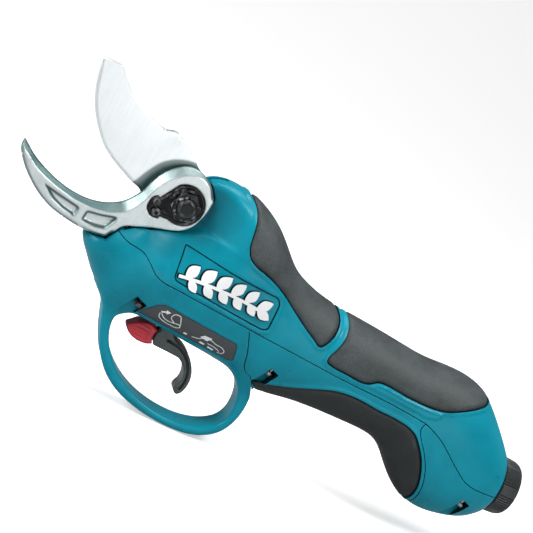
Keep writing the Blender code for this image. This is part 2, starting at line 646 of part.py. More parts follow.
# ---------------------------------------------------------------- cutting head
def build_anvil():
    anvil = prism(ANVIL, *ANVIL_Y)
    for pocket in ANVIL_POCKETS:
        cut(anvil, prism(pocket, ANVIL_CUT_Y, -6.6))
    # seat of the lock plate, and bore for the bolt
    cut(anvil, prism(hub_outline(), ANVIL_CUT_Y, -7.0), rod(PIVOT, -11, 0, 6.2, 20))
    # the hook thins towards its cutting edge and tip
    cut(anvil, prism(ANVIL_THINNING, ANVIL_CUT_Y, -6.2))
    fuse(anvil, prism(ANVIL_TANG, -3.6, -2.2))
    cut(anvil, rod(across(*ANVIL_SCREW), -11, 0, 1.9, 10),
        rod(across(*PLATE_SCREW), -11, -4.4, 1.35, 10))
    finish(tidy(anvil), "anvil_blade", "cast_steel")


def build_blade():
    half = BLADE_T / 2
    blade = prism(BLADE, -half, half)
    # one-sided step along the cutting edge, on the far face
    cut(blade, prism(BLADE_BEVEL, -0.3, 4.0))
    cut(blade, rod(PIVOT, -5, 5, 7.4, 20), rod(TAIL_PIN, -5, 5, 2.62, 12))
    finish(tidy(blade), "cutting_blade", "ground_steel")
    finish(ring(PIVOT, -half, half, 6.1, 7.1, 20), "blade_bush", "brass")
    finish(rod(TAIL_PIN, -7.9, 7.9, 2.5, 12), "tail_pin", "ground_steel")


def build_pivot_bolt():
    """Head on the far side; the threaded end stands out of the nut on the near side."""
    bolt = lathe([(-BOLT_END, 0), (-BOLT_END, 4.1), (-14.0, 4.6), (-7.0, 4.6), (-6.4, 5.8),
                  (7.0, 5.8), (7.0, 9.0), (11.6, 9.0), (12.2, 8.4), (12.2, 0)], PIVOT, 20)
    finish(bolt, "pivot_bolt", "black_steel")
    nut = prism(arc((0, 0), 7.4, [60 * k + 12 for k in range(6)]), -12.6, -8.35)
    cut(nut, rod(PIVOT, -14, -4, 4.85, 14))
    finish(nut, "pivot_nut", "black_steel")


def build_lock_plate():
    line = across(*PLATE_SCREW)
    plate = prism(shrink(hub_outline(), 0.5), -8.1, -7.2)
    cut(plate, rod(PIVOT, -14, -4, 6.1, 18), rod(line, -10, -3, 1.35, 10))
    finish(tidy(plate), "lock_plate", "black_steel")
    screw = lathe([(-10.3, 0), (-10.3, 1.6), (-9.8, 2.1), (-8.25, 2.1), (-8.25, 1.1),
                   (-4.8, 1.1), (-4.8, 0)], line, 10)
    finish(screw, "lock_plate_screw", "black_steel")


def build_head_frame():
    line = across(*ANVIL_SCREW)
    frame = prism(HEAD_FRAME, 2.5, 6.7)
    fuse(frame, prism(FRAME_LUG, -1.8, 3.0))
    fuse(frame, ring(DRIVE, 45.0, 57.4, 11.2, 14.6, 20))    # bearing seat
    fuse(frame, prism(FRAME_WEB, -4.5, 6.6))
    cut(frame, rod(DRIVE, 44.0, 60.0, 11.25, 20), rod(DRIVE, 5.0, 46.0, 9.6, 18))
    cut(frame, rod(PIVOT, -5, 9, 6.0, 18), rod(line, -10, 9, 1.55, 10))
    finish(tidy(frame), "head_frame", "die_cast_aluminium")
    screw = lathe([(-5.6, 0), (-5.6, 2.6), (-3.9, 2.6), (-3.9, 1.4), (5.0, 1.4), (5.0, 0)],
                  line, 10)
    finish(screw, "anvil_screw", "ground_steel")


# ---------------------------------------------------------------- drive
def build_yoke():
    """Ring round the drive axis with a cheek on either side, each notched for the tail pin."""
    bore = 6.2
    # cheek: distance behind the tail pin along the axis, distance below the axis
    cheek = [(-5.2, 5.2), (11.0, 5.6), (11.0, -5.6), (6.2, -4.4), (2.72, -4.4), (2.72, 2.8),
             (-2.72, 2.8), (-2.72, -3.6), (-3.6, -3.6), (-5.2, -1.2)]
    outline = [drive_xz(PIN_T + along, below) for along, below in cheek]
    yoke = ring(DRIVE, PIN_T + 10.6, PIN_T + 13.6, bore, 8.8, 18)
    fuse(yoke, prism(outline, 5.6, 8.0), prism(outline, -8.0, -5.6))
    cut(yoke, rod(DRIVE, PIN_T + 8.0, PIN_T + 20, bore, 18))
    finish(tidy(yoke), "drive_yoke", "die_cast_aluminium")


def build_ball_screw():
    """One helical groove, then a bearing journal and a spigot for the planet carrier."""
    radius, groove_depth = 5.0, 0.75
    start, end = 16.2, 44.0
    segments, steps = 10, 18
    sections = []
    for k in range(steps + 1):
        t = start + (end - start) * k / steps
        section = []
        for i in range(segments):
            q = 2 * math.pi * i / segments
            r = radius - groove_depth * max(0.0, math.cos(q)) ** 4
            turn = q + 2 * math.pi * (t - start) / LEAD
            section.append(tuple(drive_point(t, r * math.cos(turn), r * math.sin(turn))))
        sections.append(section)
    screw = loft(sections)
    fuse(screw, lathe([(43.5, 0), (43.5, radius), (56.6, radius), (56.6, 3.9), (61.4, 3.9),
                       (61.4, 0)], DRIVE, 14))
    finish(tidy(screw), "ball_screw", "ground_steel")


def gear(teeth, start, end, plain_radius, phase, centre=(0.0, 0.0), internal=False):
    """Spur gear along the drive axis. centre is its offset to the side and below;
    plain_radius is the bore, or the outside of an internal gear."""
    pitch = GEAR_MODULE * teeth / 2
    sign = -1 if internal else 1
    tip = pitch + sign * 0.78 * GEAR_MODULE
    root = pitch - sign * 1.15 * GEAR_MODULE
    half = math.pi / teeth * (0.94 if internal else 0.92)
    toothed = [(r, phase + 2 * math.pi * i / teeth + f * half)
               for i in range(teeth) for f, r in ((-0.10, tip), (0.10, tip), (1.0, root))]
    plain = [(plain_radius, q) for _, q in toothed]
    verts = [tuple(drive_point(t, centre[0] + r * math.cos(q), centre[1] + r * math.sin(q)))
             for loop in (toothed, plain) for t in (start, end) for r, q in loop]
    n = len(toothed)
    faces = []
    for i in range(n):
        j = (i + 1) % n
        faces.append([i, j, n + j, n + i])
        faces.append([2 * n + i, 3 * n + i, 3 * n + j, 2 * n + j])
        faces.append([i, 2 * n + i, 2 * n + j, j])
        faces.append([n + i, n + j, 3 * n + j, 3 * n + i])
    return make(verts, faces)


def build_planetary_stage():
    finish(gear(RING_TEETH, 61.6, 71.6, 14.9, math.pi / RING_TEETH, internal=True),
           "ring_gear", "ground_steel")
    finish(gear(SUN_TEETH, 62.2, 71.4, 1.72, 0.0), "sun_gear", "ground_steel")
    planet_circle = GEAR_MODULE * (SUN_TEETH + PLANET_TEETH) / 2
    carrier = ring(DRIVE, 58.4, 61.0, 4.15, 10.6, 18)
    for i in range(3):
        q = 2 * math.pi * i / 3
        centre = (planet_circle * math.cos(q), planet_circle * math.sin(q))
        fuse(carrier, rod((drive_point(0.0, *centre), DRIVE_DIR), 60.0, 70.8, 1.4, 10))
        # turned so that its teeth mesh with the sun's
        phase = q + math.pi + (SUN_TEETH * q - math.pi) / PLANET_TEETH
        finish(gear(PLANET_TEETH, 61.7, 70.0, 1.6, phase, centre),
               f"planet_gear_{i + 1}", "ground_steel")
    finish(tidy(carrier), "planet_carrier", "ground_steel")


def build_drive_line():
    """Plain rings and turned pieces of the drive, and the motor shaft."""
    for name, start, end, bore, radius, segments, material in DRIVE_RINGS:
        finish(ring(DRIVE, start, end, bore, radius, segments), name, material)
    for name, segments, material, profile in DRIVE_TURNED:
        finish(lathe(profile, DRIVE, segments), name, material)
    finish(rod(DRIVE, 62.0, 121.6, 1.5, 10), "motor_shaft", "ground_steel")


# ---------------------------------------------------------------- electronics and cord socket
def build_controller_board():
    finish(block((131.0, 181.0), (-12.5, 12.5), (-46.0, -44.4)),
           "controller_board", "circuit_board")


def build_socket():
    socket = lathe([(190.0, 0), (190.0, 9.6), (201.0, 9.6), (201.0, 13.2), (203.6, 13.2),
                    (203.6, 11.9), (220.8, 11.9), (220.8, 9.0), (206.0, 9.0), (206.0, 0)],
                   lengthwise(0), 20)
    for number, y in ((1, CONTACT_Y), (2, -CONTACT_Y)):
        cut(socket, rod(lengthwise(y), 188.0, 210.0, 1.75, 10))
        finish(rod(lengthwise(y), 187.5, 217.6, 1.45, 10), f"contact_pin_{number}", "brass")
    finish(socket, "cord_socket", "dark_plastic")
    coupling = lathe([(211.4, 12.25), (211.4, 14.6), (219.8, 14.6), (221.5, 13.2),
                      (221.5, 12.25)], lengthwise(0), 26)
    finish(coupling, "coupling_ring", "dark_plastic")


def build_cables():
    # three cores from above the drive axis, behind the motor, down to the board
    cores = []
    for y in (-1.7, 0.0, 1.7):
        path = [drive_point(123.8, y, -4), drive_point(126.6, y, -4), (131.5, y, -37.0),
                (139.0, y, -40.6), (142.6, y, -43.2)]
        cores.append(sweep(smooth_path(path), 0.95))
    finish(fuse(*cores), "motor_cable", "wire_insulation")
    for name, y, material in (("power_lead_plus", CONTACT_Y, "wire_insulation"),
                              ("power_lead_minus", -CONTACT_Y, "black_steel")):
        path = [(187.1, y, SOCKET_Z), (184.6, y, SOCKET_Z), (180.6, y, -55.0),
                (174.0, y, -48.8), (172.6, y, -46.4)]
        finish(sweep(smooth_path(path), 1.3), name, material)
    path = [(35.4, 0.0, -50.0), (42.0, 0.0, -52.6), (60.0, 0.0, -56.8), (90.0, 0.0, -56.6),
            (120.0, 0.0, -57.6), (137.0, 0.0, -56.4), (150.0, 0.0, -46.6)]
    finish(sweep(smooth_path(path), 0.9), "trigger_cable", "dark_plastic")


# ---------------------------------------------------------------- trigger group
PIVOT_HOLE_R = 1.65   # trigger pin's holes
LOCK_HOLE_R = 1.35    # lock lever pin's holes


def build_trigger():
    pivot, lock_pivot = across(*TRIGGER_PIVOT), across(*LOCK_PIVOT)
    outline = [
        (16.6, -45.6), (23.4, -45.6), (25.4, -56.0), (27.0, -60.6), (33.2, -63.0),
        (37.2, -65.6), (40.6, -69.0), (43.2, -73.6), (44.2, -78.9), (42.8, -84.8),
        (41.0, -86.0), (39.2, -84.2), (41.0, -78.8), (40.2, -74.6), (37.6, -71.0),
        (33.6, -68.6), (29.0, -68.4),
        *arc(LOCK_PIVOT, 7.0, (216, 204, 192, 180, 168, 156, 146)),
        (18.6, -58.4), (16.2, -54.0)]
    lock_arm_slot = [(10.0, -56.8), (24.6, -58.8), (29.6, -61.0), (29.6, -66.9), (26.0, -67.4),
                     (10.0, -75.0)]
    trigger = prism(outline, -5.5, 5.5)
    cut(trigger, rod(pivot, -9, 9, PIVOT_HOLE_R, 10), rod(lock_pivot, -9, 9, LOCK_HOLE_R, 10))
    cut(trigger, prism(lock_arm_slot, -2.0, 2.0))
    finish(tidy(trigger), "trigger", "dark_plastic")
    finish(rod(pivot, -8.6, 10.8, 1.45, 10), "trigger_pin", "ground_steel")


def build_lock_lever():
    x, z = LOCK_PIVOT
    lever = prism([(3.6, -63.6), (8.6, -59.2), (14.0, -58.8),
                   *arc(LOCK_PIVOT, 7.5, (147, 158, 169, 180, 191, 202, 213)),
                   (15.6, -69.4), (9.6, -69.3), (5.2, -67.2)], -5.5, 5.5)
    edge = lever.modifiers.new("edge", "BEVEL")
    edge.width = 0.7 * MM
    edge.segments = 1
    edge.limit_method = "ANGLE"
    edge.angle_limit = math.radians(50)
    settle(lever)
    fuse(lever, prism([(15.0, -62.0), (x, z + 2.4), (x + 2.2, z + 1.0), (x + 2.2, z - 1.0),
                       (x, z - 2.4), (15.0, -66.0)], -1.7, 1.7))    # arm to the pivot
    cut(lever, rod(across(x, z), -9, 9, LOCK_HOLE_R, 10))
    finish(tidy(lever), "lock_lever", "red_plastic")
    finish(rod(across(x, z), -5.2, 5.2, 1.15, 10), "lock_lever_pin", "black_steel")


def build_trigger_mount():
    """Bracket with two ears for the trigger pin, and the switch under it."""
    ear_x, ear_z = (14.0, 26.0), (-50.6, -44.0)
    bracket = fuse(block((12.0, 36.0), (-8.9, 8.9), (-44.6, -43.2)),
                   block(ear_x, (6.2, 8.0), ear_z), block(ear_x, (-8.0, -6.2), ear_z))
    cut(bracket, rod(across(*TRIGGER_PIVOT), -12, 12, PIVOT_HOLE_R, 10))
    finish(tidy(bracket), "trigger_bracket", "dark_plastic")
    finish(block((27.6, 34.8), (-4.2, 4.2), (-52.4, -44.9)), "trigger_switch", "black_steel")


def build_trigger_spring():
    """Three turns round the trigger pin on the far side, with a straight leg at each end."""
    x, z = TRIGGER_PIVOT
    radius, turns, steps = 2.4, 3, 8
    path = [(x - 5.2, 8.4, z - radius), (x - 2.6, 8.4, z - radius)]
    for k in range(turns * steps + 1):
        q = -math.pi / 2 + 2 * math.pi * k / steps
        path.append((x + radius * math.cos(q), 8.5 + 1.7 * k / (turns * steps),
                     z + radius * math.sin(q)))
    path += [(x + 2.6, 10.2, z - radius), (x + 5.4, 10.2, z - radius)]
    finish(sweep(path, 0.3, 5), "trigger_spring", "ground_steel")


def main():
    clear_scene()
    add_origin()
    add_materials()
    build_housing()
    build_pads()
    build_anvil()
    build_blade()
    build_pivot_bolt()
    build_lock_plate()
    build_head_frame()
    build_yoke()
    build_ball_screw()
    build_planetary_stage()
    build_drive_line()
    build_controller_board()
    build_socket()
    build_cables()
    build_trigger()
    build_lock_lever()
    build_trigger_mount()
    build_trigger_spring()


main()
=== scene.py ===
"""Electric pruner: a hooked anvil blade and a cutting blade on a teal housing with grip pads,
a trigger inside a guard loop, and a cord socket at the tail.

Design units are millimetres: +x back along the handle, +z up, y = 0 the middle plane, and the
pivot axis runs along y through x = z = 0. The near side is -y. to_world() gives scene metres.
"""

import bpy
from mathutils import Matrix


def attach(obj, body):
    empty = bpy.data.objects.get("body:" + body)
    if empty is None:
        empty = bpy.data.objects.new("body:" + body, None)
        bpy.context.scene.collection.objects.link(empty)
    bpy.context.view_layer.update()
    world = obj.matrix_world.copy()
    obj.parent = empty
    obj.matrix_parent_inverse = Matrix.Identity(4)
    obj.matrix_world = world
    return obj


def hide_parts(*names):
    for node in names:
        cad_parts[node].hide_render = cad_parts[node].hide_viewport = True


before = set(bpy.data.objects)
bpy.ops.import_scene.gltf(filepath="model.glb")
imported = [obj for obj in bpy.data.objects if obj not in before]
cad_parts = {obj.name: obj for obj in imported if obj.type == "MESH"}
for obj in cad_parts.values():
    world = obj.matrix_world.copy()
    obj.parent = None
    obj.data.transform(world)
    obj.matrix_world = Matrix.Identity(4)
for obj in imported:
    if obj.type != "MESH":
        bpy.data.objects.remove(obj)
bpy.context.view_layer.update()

import math
from contextlib import contextmanager
from itertools import product

import bmesh
import bpy
import numpy as np
from mathutils import Matrix, Vector

MM = 0.001
SHIFT = np.array([0, 14.6, 0])    # where the design origin lies in the scene
FLOOR_Z = -102.4
SEAM = 0.42                       # visible part line
PAD_GAP, PAD_INSET = 0.24, 0.20   # pocket beyond, and pad within, the pad's outline
ALONG_X, ALONG_Y = (1, 0, 0), (0, 1, 0)
CENTRE = (0, 0, 0)

# Drive: its axis falls towards the tail, and the crank pin turns about the pivot.
DRIVE_TILT = math.radians(7.5)
DRIVE_DIR = np.array([math.cos(DRIVE_TILT), 0, -math.sin(DRIVE_TILT)])
DRIVE_DOWN = np.array([-math.sin(DRIVE_TILT), 0, -math.cos(DRIVE_TILT)])
CRANK = 25.0
SWING = math.radians(43)
DRIVE_FOOT = DRIVE_DOWN * CRANK
CRANK_PIN = (DRIVE_DOWN * (CRANK * math.cos(SWING / 2))
             + DRIVE_DIR * (-CRANK * math.sin(SWING / 2)))

SOCKET_Z = -60.4
CONTACT_Y = (3.9, -3.9)
LEVER_PIN = (25, -64)             # x, z where the lock lever is hinged in the trigger
LOCK_SCREW = (-11.4, -8.2)        # x, z of the lock plate's screw

# Screw pairs, one screw each side:
# x, z, y, half width of the well, the well's shift forward, start of its painted shade along the
# screw
SCREW_DIR = (0.36, 0, 0.933)
SCREW_PAIRS = {
    "guard_housing": (2, -50, 11, 3.4, 0.9, -5.2),
    "lower_housing": (74.5, -53.2, 12.6, 2.8, 0, -9),
    "rear_cover": (196.5, -73, 13, 2.8, 0, -9),
}

# Body sections: x, top z, bottom z, half width, superellipse exponent
BODY = [
    (-36.2, -33, -33.8, 0.8, 2), (-35, -31.2, -35.3, 4.6, 2), (-33.5, -29.2, -37.9, 8.8, 2.1),
    (-30, -26.6, -41.7, 11.9, 2.2), (-25, -23.3, -47.5, 13.6, 2.3), (-19, -20, -53, 15, 2.4),
    (-13, -15, -57.3, 16.2, 2.5), (-6, -3, -58.5, 17.4, 2.5), (1, 12.6, -58.5, 18.4, 2.5),
    (8, 18, -58.7, 19.2, 2.6), (16, 19.3, -59, 19.9, 2.6), (24, 18.8, -59.6, 20.5, 2.6),
    (32, 16.8, -60.2, 20.9, 2.6), (40, 13.6, -60.9, 21, 2.55), (48, 9, -61.6, 20.9, 2.5),
    (56, 1.8, -62.6, 20.6, 2.4), (64, -5.7, -65, 20.2, 2.35), (72, -9.3, -67.2, 19.8, 2.3),
    (82, -12.2, -65.9, 19.5, 2.25), (94, -13.9, -63.9, 19.2, 2.2), (108, -14.7, -63, 19.2, 2.2),
    (122, -15.7, -62.7, 19.2, 2.2), (134, -16.8, -62.6, 19.2, 2.2), (142, -17.6, -63.8, 19.4, 2.2),
    (149, -17.6, -68.4, 19.8, 2.2), (155, -17, -74.8, 20.2, 2.25), (162, -16.6, -81, 20.6, 2.3),
    (170, -16.7, -85.8, 20.8, 2.35), (178, -18.1, -87.9, 20.8, 2.4), (186, -21.4, -87.5, 20.4, 2.4),
    (194, -28.4, -86, 19.6, 2.4), (202, -35.7, -83.8, 18.4, 2.3), (208, -41.6, -80, 16.8, 2.2),
    (212, -45.8, -75.2, 15.2, 2),
]

# Lines and outlines in side view: x, z.
# Part lines: under the upper housing, its tail end, guard to lower, lower to rear.
SEAM_UPPER = [
    (-23, -23.6), (-18, -25.4), (-8.8, -26.4), (-4.3, -29.2), (2.7, -34), (16.4, -35.1),
    (31, -35.8), (53, -37.1), (82, -38.9), (105, -40.2), (135, -40.9), (155.4, -42.2)]
SEAM_TAIL = [
    (161, -44.1), (167, -46.8), (174, -51.3), (182.4, -56.9), (190.3, -61.2), (196, -62.4),
    (203, -62.7)]
SEAM_GUARD = [
    SEAM_UPPER[7], (58.1, -47.7), (62.5, -57.6), (67.4, -60.2), (73.6, -69.6), (76, -76)]
SEAM_REAR = [
    SEAM_UPPER[-1], (154.8, -46), (156.4, -49.2), (161.3, -54.8), (165.8, -60.6),
    (169.6, -67.4), (172.6, -75.5), (173.8, -83), (173.8, -95)]
PAD_LOWER_EDGE = [
    (68.9, -61.9), (78, -58.9), (88.1, -55.1), (97.4, -50.9), (105.6, -47.6), (112, -46.3),
    (119.5, -46), (130.5, -46.8), (141.3, -47), (149.8, -48.2), (153.7, -50), (159.1, -55.2),
    (163.3, -60.5), (167.2, -67.5), (170.2, -75), (171.4, -83), (171.4, -95)]
PAD_FRONT = [
    (20.4, 24), (25.8, 18.9), (30, 15), (32, 10.6), (33.2, 3.9), (34.5, -2.6), (37, -6.4),
    (41.2, -8.6), (46.8, -10), (53, -12), (60.7, -15.6), (68.7, -20.4), (77.4, -25.4),
    (83.6, -28.5), (88.4, -30.6), (91.3, -27.4), (93.4, -22.1), (93.6, -16.7), (92, -12.6),
    (89, 0), (60, 30), (24, 34)]
PAD_REAR = [
    (95.6, -4), (97.9, -13.2), (99.1, -17.4), (98.9, -22.4), (97, -28.3), (94.9, -33.4),
    (95.2, -35.6), (98, -36.6), (106.7, -37.2), (116, -37.6), (119.2, -36.9), (123.4, -34.2),
    (127, -33.7), (141.4, -34.6), (155.6, -34.3), (162.4, -33), (170.8, -29.3), (179, -25.1),
    (183, -22.6), (187.4, -16), (184, 10), (97, 10)]
GUARD = [
    (-17.6, -50), (-13.2, -57), (-10.3, -65), (-6.2, -75), (-1.2, -83.5), (6, -91),
    (15, -96.3), (26, -99.8), (37, -101.6), (47, -102), (56, -101), (63, -98.4),
    (68.6, -94.2), (72.2, -88.6), (74.1, -82), (74.5, -75.8), (73.6, -70), (67, -60.6),
    (62, -60), (66.2, -68.6), (68.6, -74.5), (69.5, -80), (69, -85.4), (66.3, -90.4),
    (61, -94.3), (53, -97), (43, -97.9), (30, -96.3), (19, -92.6), (9.2, -86.6), (3, -80.6),
    (-1.5, -74.2), (-4, -67.6), (-4.2, -62.5), (-2, -57.6), (-3, -50)]
BADGE = [
    (8.4, -15), (58.4, -17.6), (60.8, -20.2), (61.2, -33.8), (58.2, -35.3), (10.4, -32),
    (8.9, -30.4), (7.8, -15.6)]
LABEL = [
    (2.4, -54.2), (9.6, -45.9), (12.6, -44.5), (51.6, -46.8), (53, -49.6), (55, -56),
    (53.4, -57.2), (3.4, -54.9)]
LEDGE = [
    (119.5, -38.4), (123.8, -35), (127, -34.3), (141.4, -35.2), (155.6, -34.9), (162, -34),
    (160.5, -38.4), (154, -40.2), (140, -39.2), (124, -38.9)]
CREASE = [
    (-4, -15.4), (2, -12.6), (8.2, -9.6), (14, -7.6), (20, -6.9), (26.3, -7), (33, -7.8),
    (38, -9.4)]
ANVIL = [
    (-80.7, -4.2), (-80.6, -8.4), (-77.2, -13.6), (-71.4, -19.2), (-64.4, -24.2), (-56.1, -28),
    (-47.3, -29.9), (-38.8, -30.8), (-31.2, -30.5), (-26.6, -29.7), (-24.4, -25.6),
    (-21.8, -21.4), (-15.4, -18.4), (-7.8, -15.5), (-2, -13.6), (3.4, -11.3), (7.4, -7.3),
    (9.9, -0.7), (10.8, 5.8), (10.7, 9), (7.4, 13.3), (2.9, 16.2), (-2, 17.8), (-6.6, 17.2),
    (-11.2, 14.5), (-15.8, 9.4), (-18.9, 3.2), (-20.6, -2.2), (-22.2, -5.4), (-26.2, -10.8),
    (-33, -15.1), (-41, -17.2), (-48.9, -17.3), (-57.5, -15.8), (-65.8, -13), (-73, -9.6)]
ANVIL_SHARP = (0, 9, 19)
# full-thickness part of the anvil; beyond this line it is ground down
ANVIL_FACE = [
    (-86, -6.2), (-77.7, -9.4), (-69.6, -14.4), (-60.9, -17.4), (-54.6, -18.8), (-48.3, -19.9),
    (-42, -20), (-36.7, -19.6), (-30.2, -18), (-24.5, -14.9), (-20.7, -10.2), (-18.2, -4.4),
    (-15.8, 2.8), (-11.7, 9), (-5.5, 14), (0.3, 15.2), (6, 12.6), (9.6, 8), (20, 4),
    (20, -50), (-90, -50)]
ANVIL_POCKETS = [
    [(-64.4, -18.6), (-54.2, -20.3), (-44.4, -21.7), (-43.6, -23), (-44.6, -27.3),
     (-50.9, -26.2), (-57.6, -24)],
    [(-40.6, -21.6), (-33.7, -20.4), (-26.6, -18.4), (-25.6, -19.6), (-28.6, -26.4),
     (-34.5, -27.6), (-40.9, -27.4)]]
BLADE = [
    (-64.9, 44.8), (-55.5, 44.9), (-50.7, 40), (-45.1, 35.2), (-35.6, 30.2), (-28.6, 28.1),
    (-23.6, 27.3), (-19.4, 28.5), (-16.8, 28), (-12.4, 25.6), (-5.3, 20.9), (-1, 17.6),
    (5.4, 13.6), (10, 8.4), (11.8, 1), (9.6, -7), (3, -12.4), (-4.6, -18), (-6.6, -22),
    (-7.4, -25.4), (-11, -27.6), (-15.6, -26.6), (-18, -22.4), (-17, -17), (-17.6, -9),
    (-21.7, -3.4), (-26.8, -1.7), (-33.1, 0.8), (-40, 4), (-46.8, 8.4), (-52.6, 14.4),
    (-57.6, 21.1), (-61.3, 28.4), (-63.8, 36.9)]
BLADE_SHARP = (0, 1)
# cutting edge: the blade's last points taken in reverse, run out past the tip
EDGE_LINE = [(-66.4, 46)] + BLADE[:24:-1]
# Outline of the painted shadow band on the blade round the pivot, where the anvil's hub shadows it.
BLADE_SHADOW_BAND = [
    (-29.6, -6), (-26.5, -1.4), (-23.3, 5.4), (-19.1, 12.6), (-14, 16.9), (-6.5, 19.6),
    (2, 19.6), (14, 8), (14, -20), (-20, -30)]


# ------------------------------------------------------------------ outlines
def curve(points, steps=6, closed=True, sharp=()):
    """Catmull-Rom through the points; those whose index is in sharp stay corners."""
    pts = [np.array(p, float) for p in points]
    count = len(pts)
    out = []
    for i in range(count if closed else count - 1):
        a, b = pts[i], pts[(i + 1) % count]
        before, after = 2 * a - b, 2 * b - a
        if (closed or i > 0) and i not in sharp:
            before = pts[i - 1]
        if (closed or i + 2 < count) and (i + 1) % count not in sharp:
            after = pts[(i + 2) % count]
        # tangents scaled by span length keep short spans from overshooting
        span = np.linalg.norm(b - a) + 1e-9
        span_in = np.linalg.norm(a - before) + 1e-9
        span_out = np.linalg.norm(after - b) + 1e-9
        go = ((a - before) / span_in * span + (b - a)) / 2
        come = ((b - a) + (after - b) / span_out * span) / 2
        for k in range(steps):
            t = k / steps
            out.append((2 * t**3 - 3 * t**2 + 1) * a + (t**3 - 2 * t**2 + t) * go
                       + (-2 * t**3 + 3 * t**2) * b + (t**3 - t**2) * come)
    if not closed:
        out.append(pts[-1])
    return np.array(out)


def rounded(points, radius, steps=4):
    """A polygon with its corners rounded by a radius-like distance."""
    pts = [np.array(p, float) for p in points]
    out = []
    for i, corner in enumerate(pts):
        ends = []
        for other in (pts[i - 1], pts[(i + 1) % len(pts)]):
            length = np.linalg.norm(other - corner)
            ends.append(corner + (other - corner) / length * min(radius, length * 0.45))
        for k in range(steps + 1):
            t = k / steps
            out.append((1 - t) ** 2 * ends[0] + 2 * t * (1 - t) * corner + t * t * ends[1])
    return np.array(out)


def shrink(points, inset):
    """Moves a closed outline inwards (outwards when inset is negative)."""
    pts = np.array(points, float)
    after, before = np.roll(pts, -1, 0), np.roll(pts, 1, 0)
    turn = 1.0 if np.sum(pts[:, 0] * after[:, 1] - after[:, 0] * pts[:, 1]) > 0 else -1.0
    normals = []
    for edge in (pts - before, after - pts):
        edge /= np.linalg.norm(edge, axis=1)[:, None] + 1e-12
        normals.append(np.stack([-edge[:, 1], edge[:, 0]], 1) * turn)
    mitre = normals[0] + normals[1]
    mitre /= np.linalg.norm(mitre, axis=1)[:, None] + 1e-12
    return pts + mitre * (inset / np.maximum(0.35, (mitre * normals[0]).sum(1)))[:, None]


def arc(centre, radius, angles):
    """Points on a circle, at angles in degrees."""
    return [(centre[0] + radius * math.cos(math.radians(a)),
             centre[1] + radius * math.sin(math.radians(a))) for a in angles]


def moved(points, dx, dz):
    return [(x + dx, z + dz) for x, z in points]


class Outline:
    """Signed distance to an x, z outline, kept on a grid; negative inside.

    An open line gives its plain distance."""

    def __init__(self, points, area, step=0.4, closed=True):
        pts = np.array(points, float)
        low, high = area
        self.low, self.step = low, step
        x, z = np.meshgrid(*(np.arange(low[i], high[i] + step, step) for i in (0, 1)),
                           indexing="ij")
        best = np.full(x.shape, 1e9)
        inside = np.zeros(x.shape, bool)
        for i in range(len(pts) if closed else len(pts) - 1):
            ax, az = pts[i]
            bx, bz = pts[(i + 1) % len(pts)]
            dx, dz = bx - ax, bz - az
            square = dx * dx + dz * dz
            if square < 1e-12:
                continue
            t = np.clip(((x - ax) * dx + (z - az) * dz) / square, 0, 1)
            np.minimum(best, (x - ax - t * dx) ** 2 + (z - az - t * dz) ** 2, out=best)
            if az != bz and closed:
                inside ^= ((z >= az) != (z >= bz)) & (x < ax + (z - az) / (bz - az) * dx)
        dist = np.sqrt(best)
        self.grid = np.where(inside, -dist, dist) if closed else dist

    def __call__(self, x, z):
        x, z = np.broadcast_arrays(x, z)
        grid = self.grid
        u, v = (x - self.low[0]) / self.step, (z - self.low[1]) / self.step
        i = np.clip(u.astype(int), 0, grid.shape[0] - 2)
        j = np.clip(v.astype(int), 0, grid.shape[1] - 2)
        a, b = np.clip(u - i, 0, 1), np.clip(v - j, 0, 1)
        return ((grid[i, j] * (1 - a) + grid[i + 1, j] * a) * (1 - b)
                + (grid[i, j + 1] * (1 - a) + grid[i + 1, j + 1] * a) * b)


# ------------------------------------------------------------------ field tools
# A field gives about the distance to a solid's surface in mm, negative inside.
def smax(a, b, blend):
    h = np.maximum(blend - np.abs(a - b), 0.0) / blend
    return np.maximum(a, b) + h * h * blend * 0.25


def smin(a, b, blend):
    return -smax(-a, -b, blend)


def rise(a, b, x):
    """Smooth step from 0 at a to 1 at b."""
    t = np.clip((x - a) / (b - a), 0.0, 1.0)
    return t * t * (3 - 2 * t)


def fade(a, b, x):
    """Smooth step from 1 at a to 0 at b."""
    return 1 - rise(a, b, x)


def from_point(x, z, centre=(0, 0)):
    return np.sqrt((x - centre[0]) ** 2 + (z - centre[1]) ** 2)


def round_rim(across, thick, radius):
    """Where both distances are negative, with the rims between them rounded."""
    p, q = across + radius, thick + radius
    outside = np.sqrt(np.maximum(p, 0) ** 2 + np.maximum(q, 0) ** 2)
    return outside + np.minimum(np.maximum(p, q), 0) - radius


# ------------------------------------------------------------------ the body as a field
BODY_STEP = 0.25
BODY_X = np.arange(-44, 222, BODY_STEP)


def gauss(sigma):
    k = np.arange(-50, 51) * BODY_STEP
    g = np.exp(-0.5 * (k / sigma) ** 2)
    return g / g.sum()


def smooth_sections():
    """The BODY columns against BODY_X, smoothed, but only a little at the nose."""
    table = np.array(BODY)
    stations = table[:, 0]
    left, right = BODY_X < stations[0], BODY_X > stations[-1]
    out = []
    for column in table.T[1:]:
        v = np.interp(BODY_X, stations, column)
        # a flat run-out at the nose and a sloping one at the tail, so smoothing keeps both
        v[left] = column[0]
        slope = (column[-1] - column[-2]) / (stations[-1] - stations[-2])
        v[right] = column[-1] + slope * (BODY_X[right] - stations[-1])
        wide, thin = (np.convolve(np.pad(v, 60, "edge"), gauss(sigma), "same")[60:-60]
                      for sigma in (3.4, 0.9))
        w = rise(-30, -18, BODY_X)
        out.append(thin * (1 - w) + wide * w)
    return out


SECTIONS = smooth_sections()


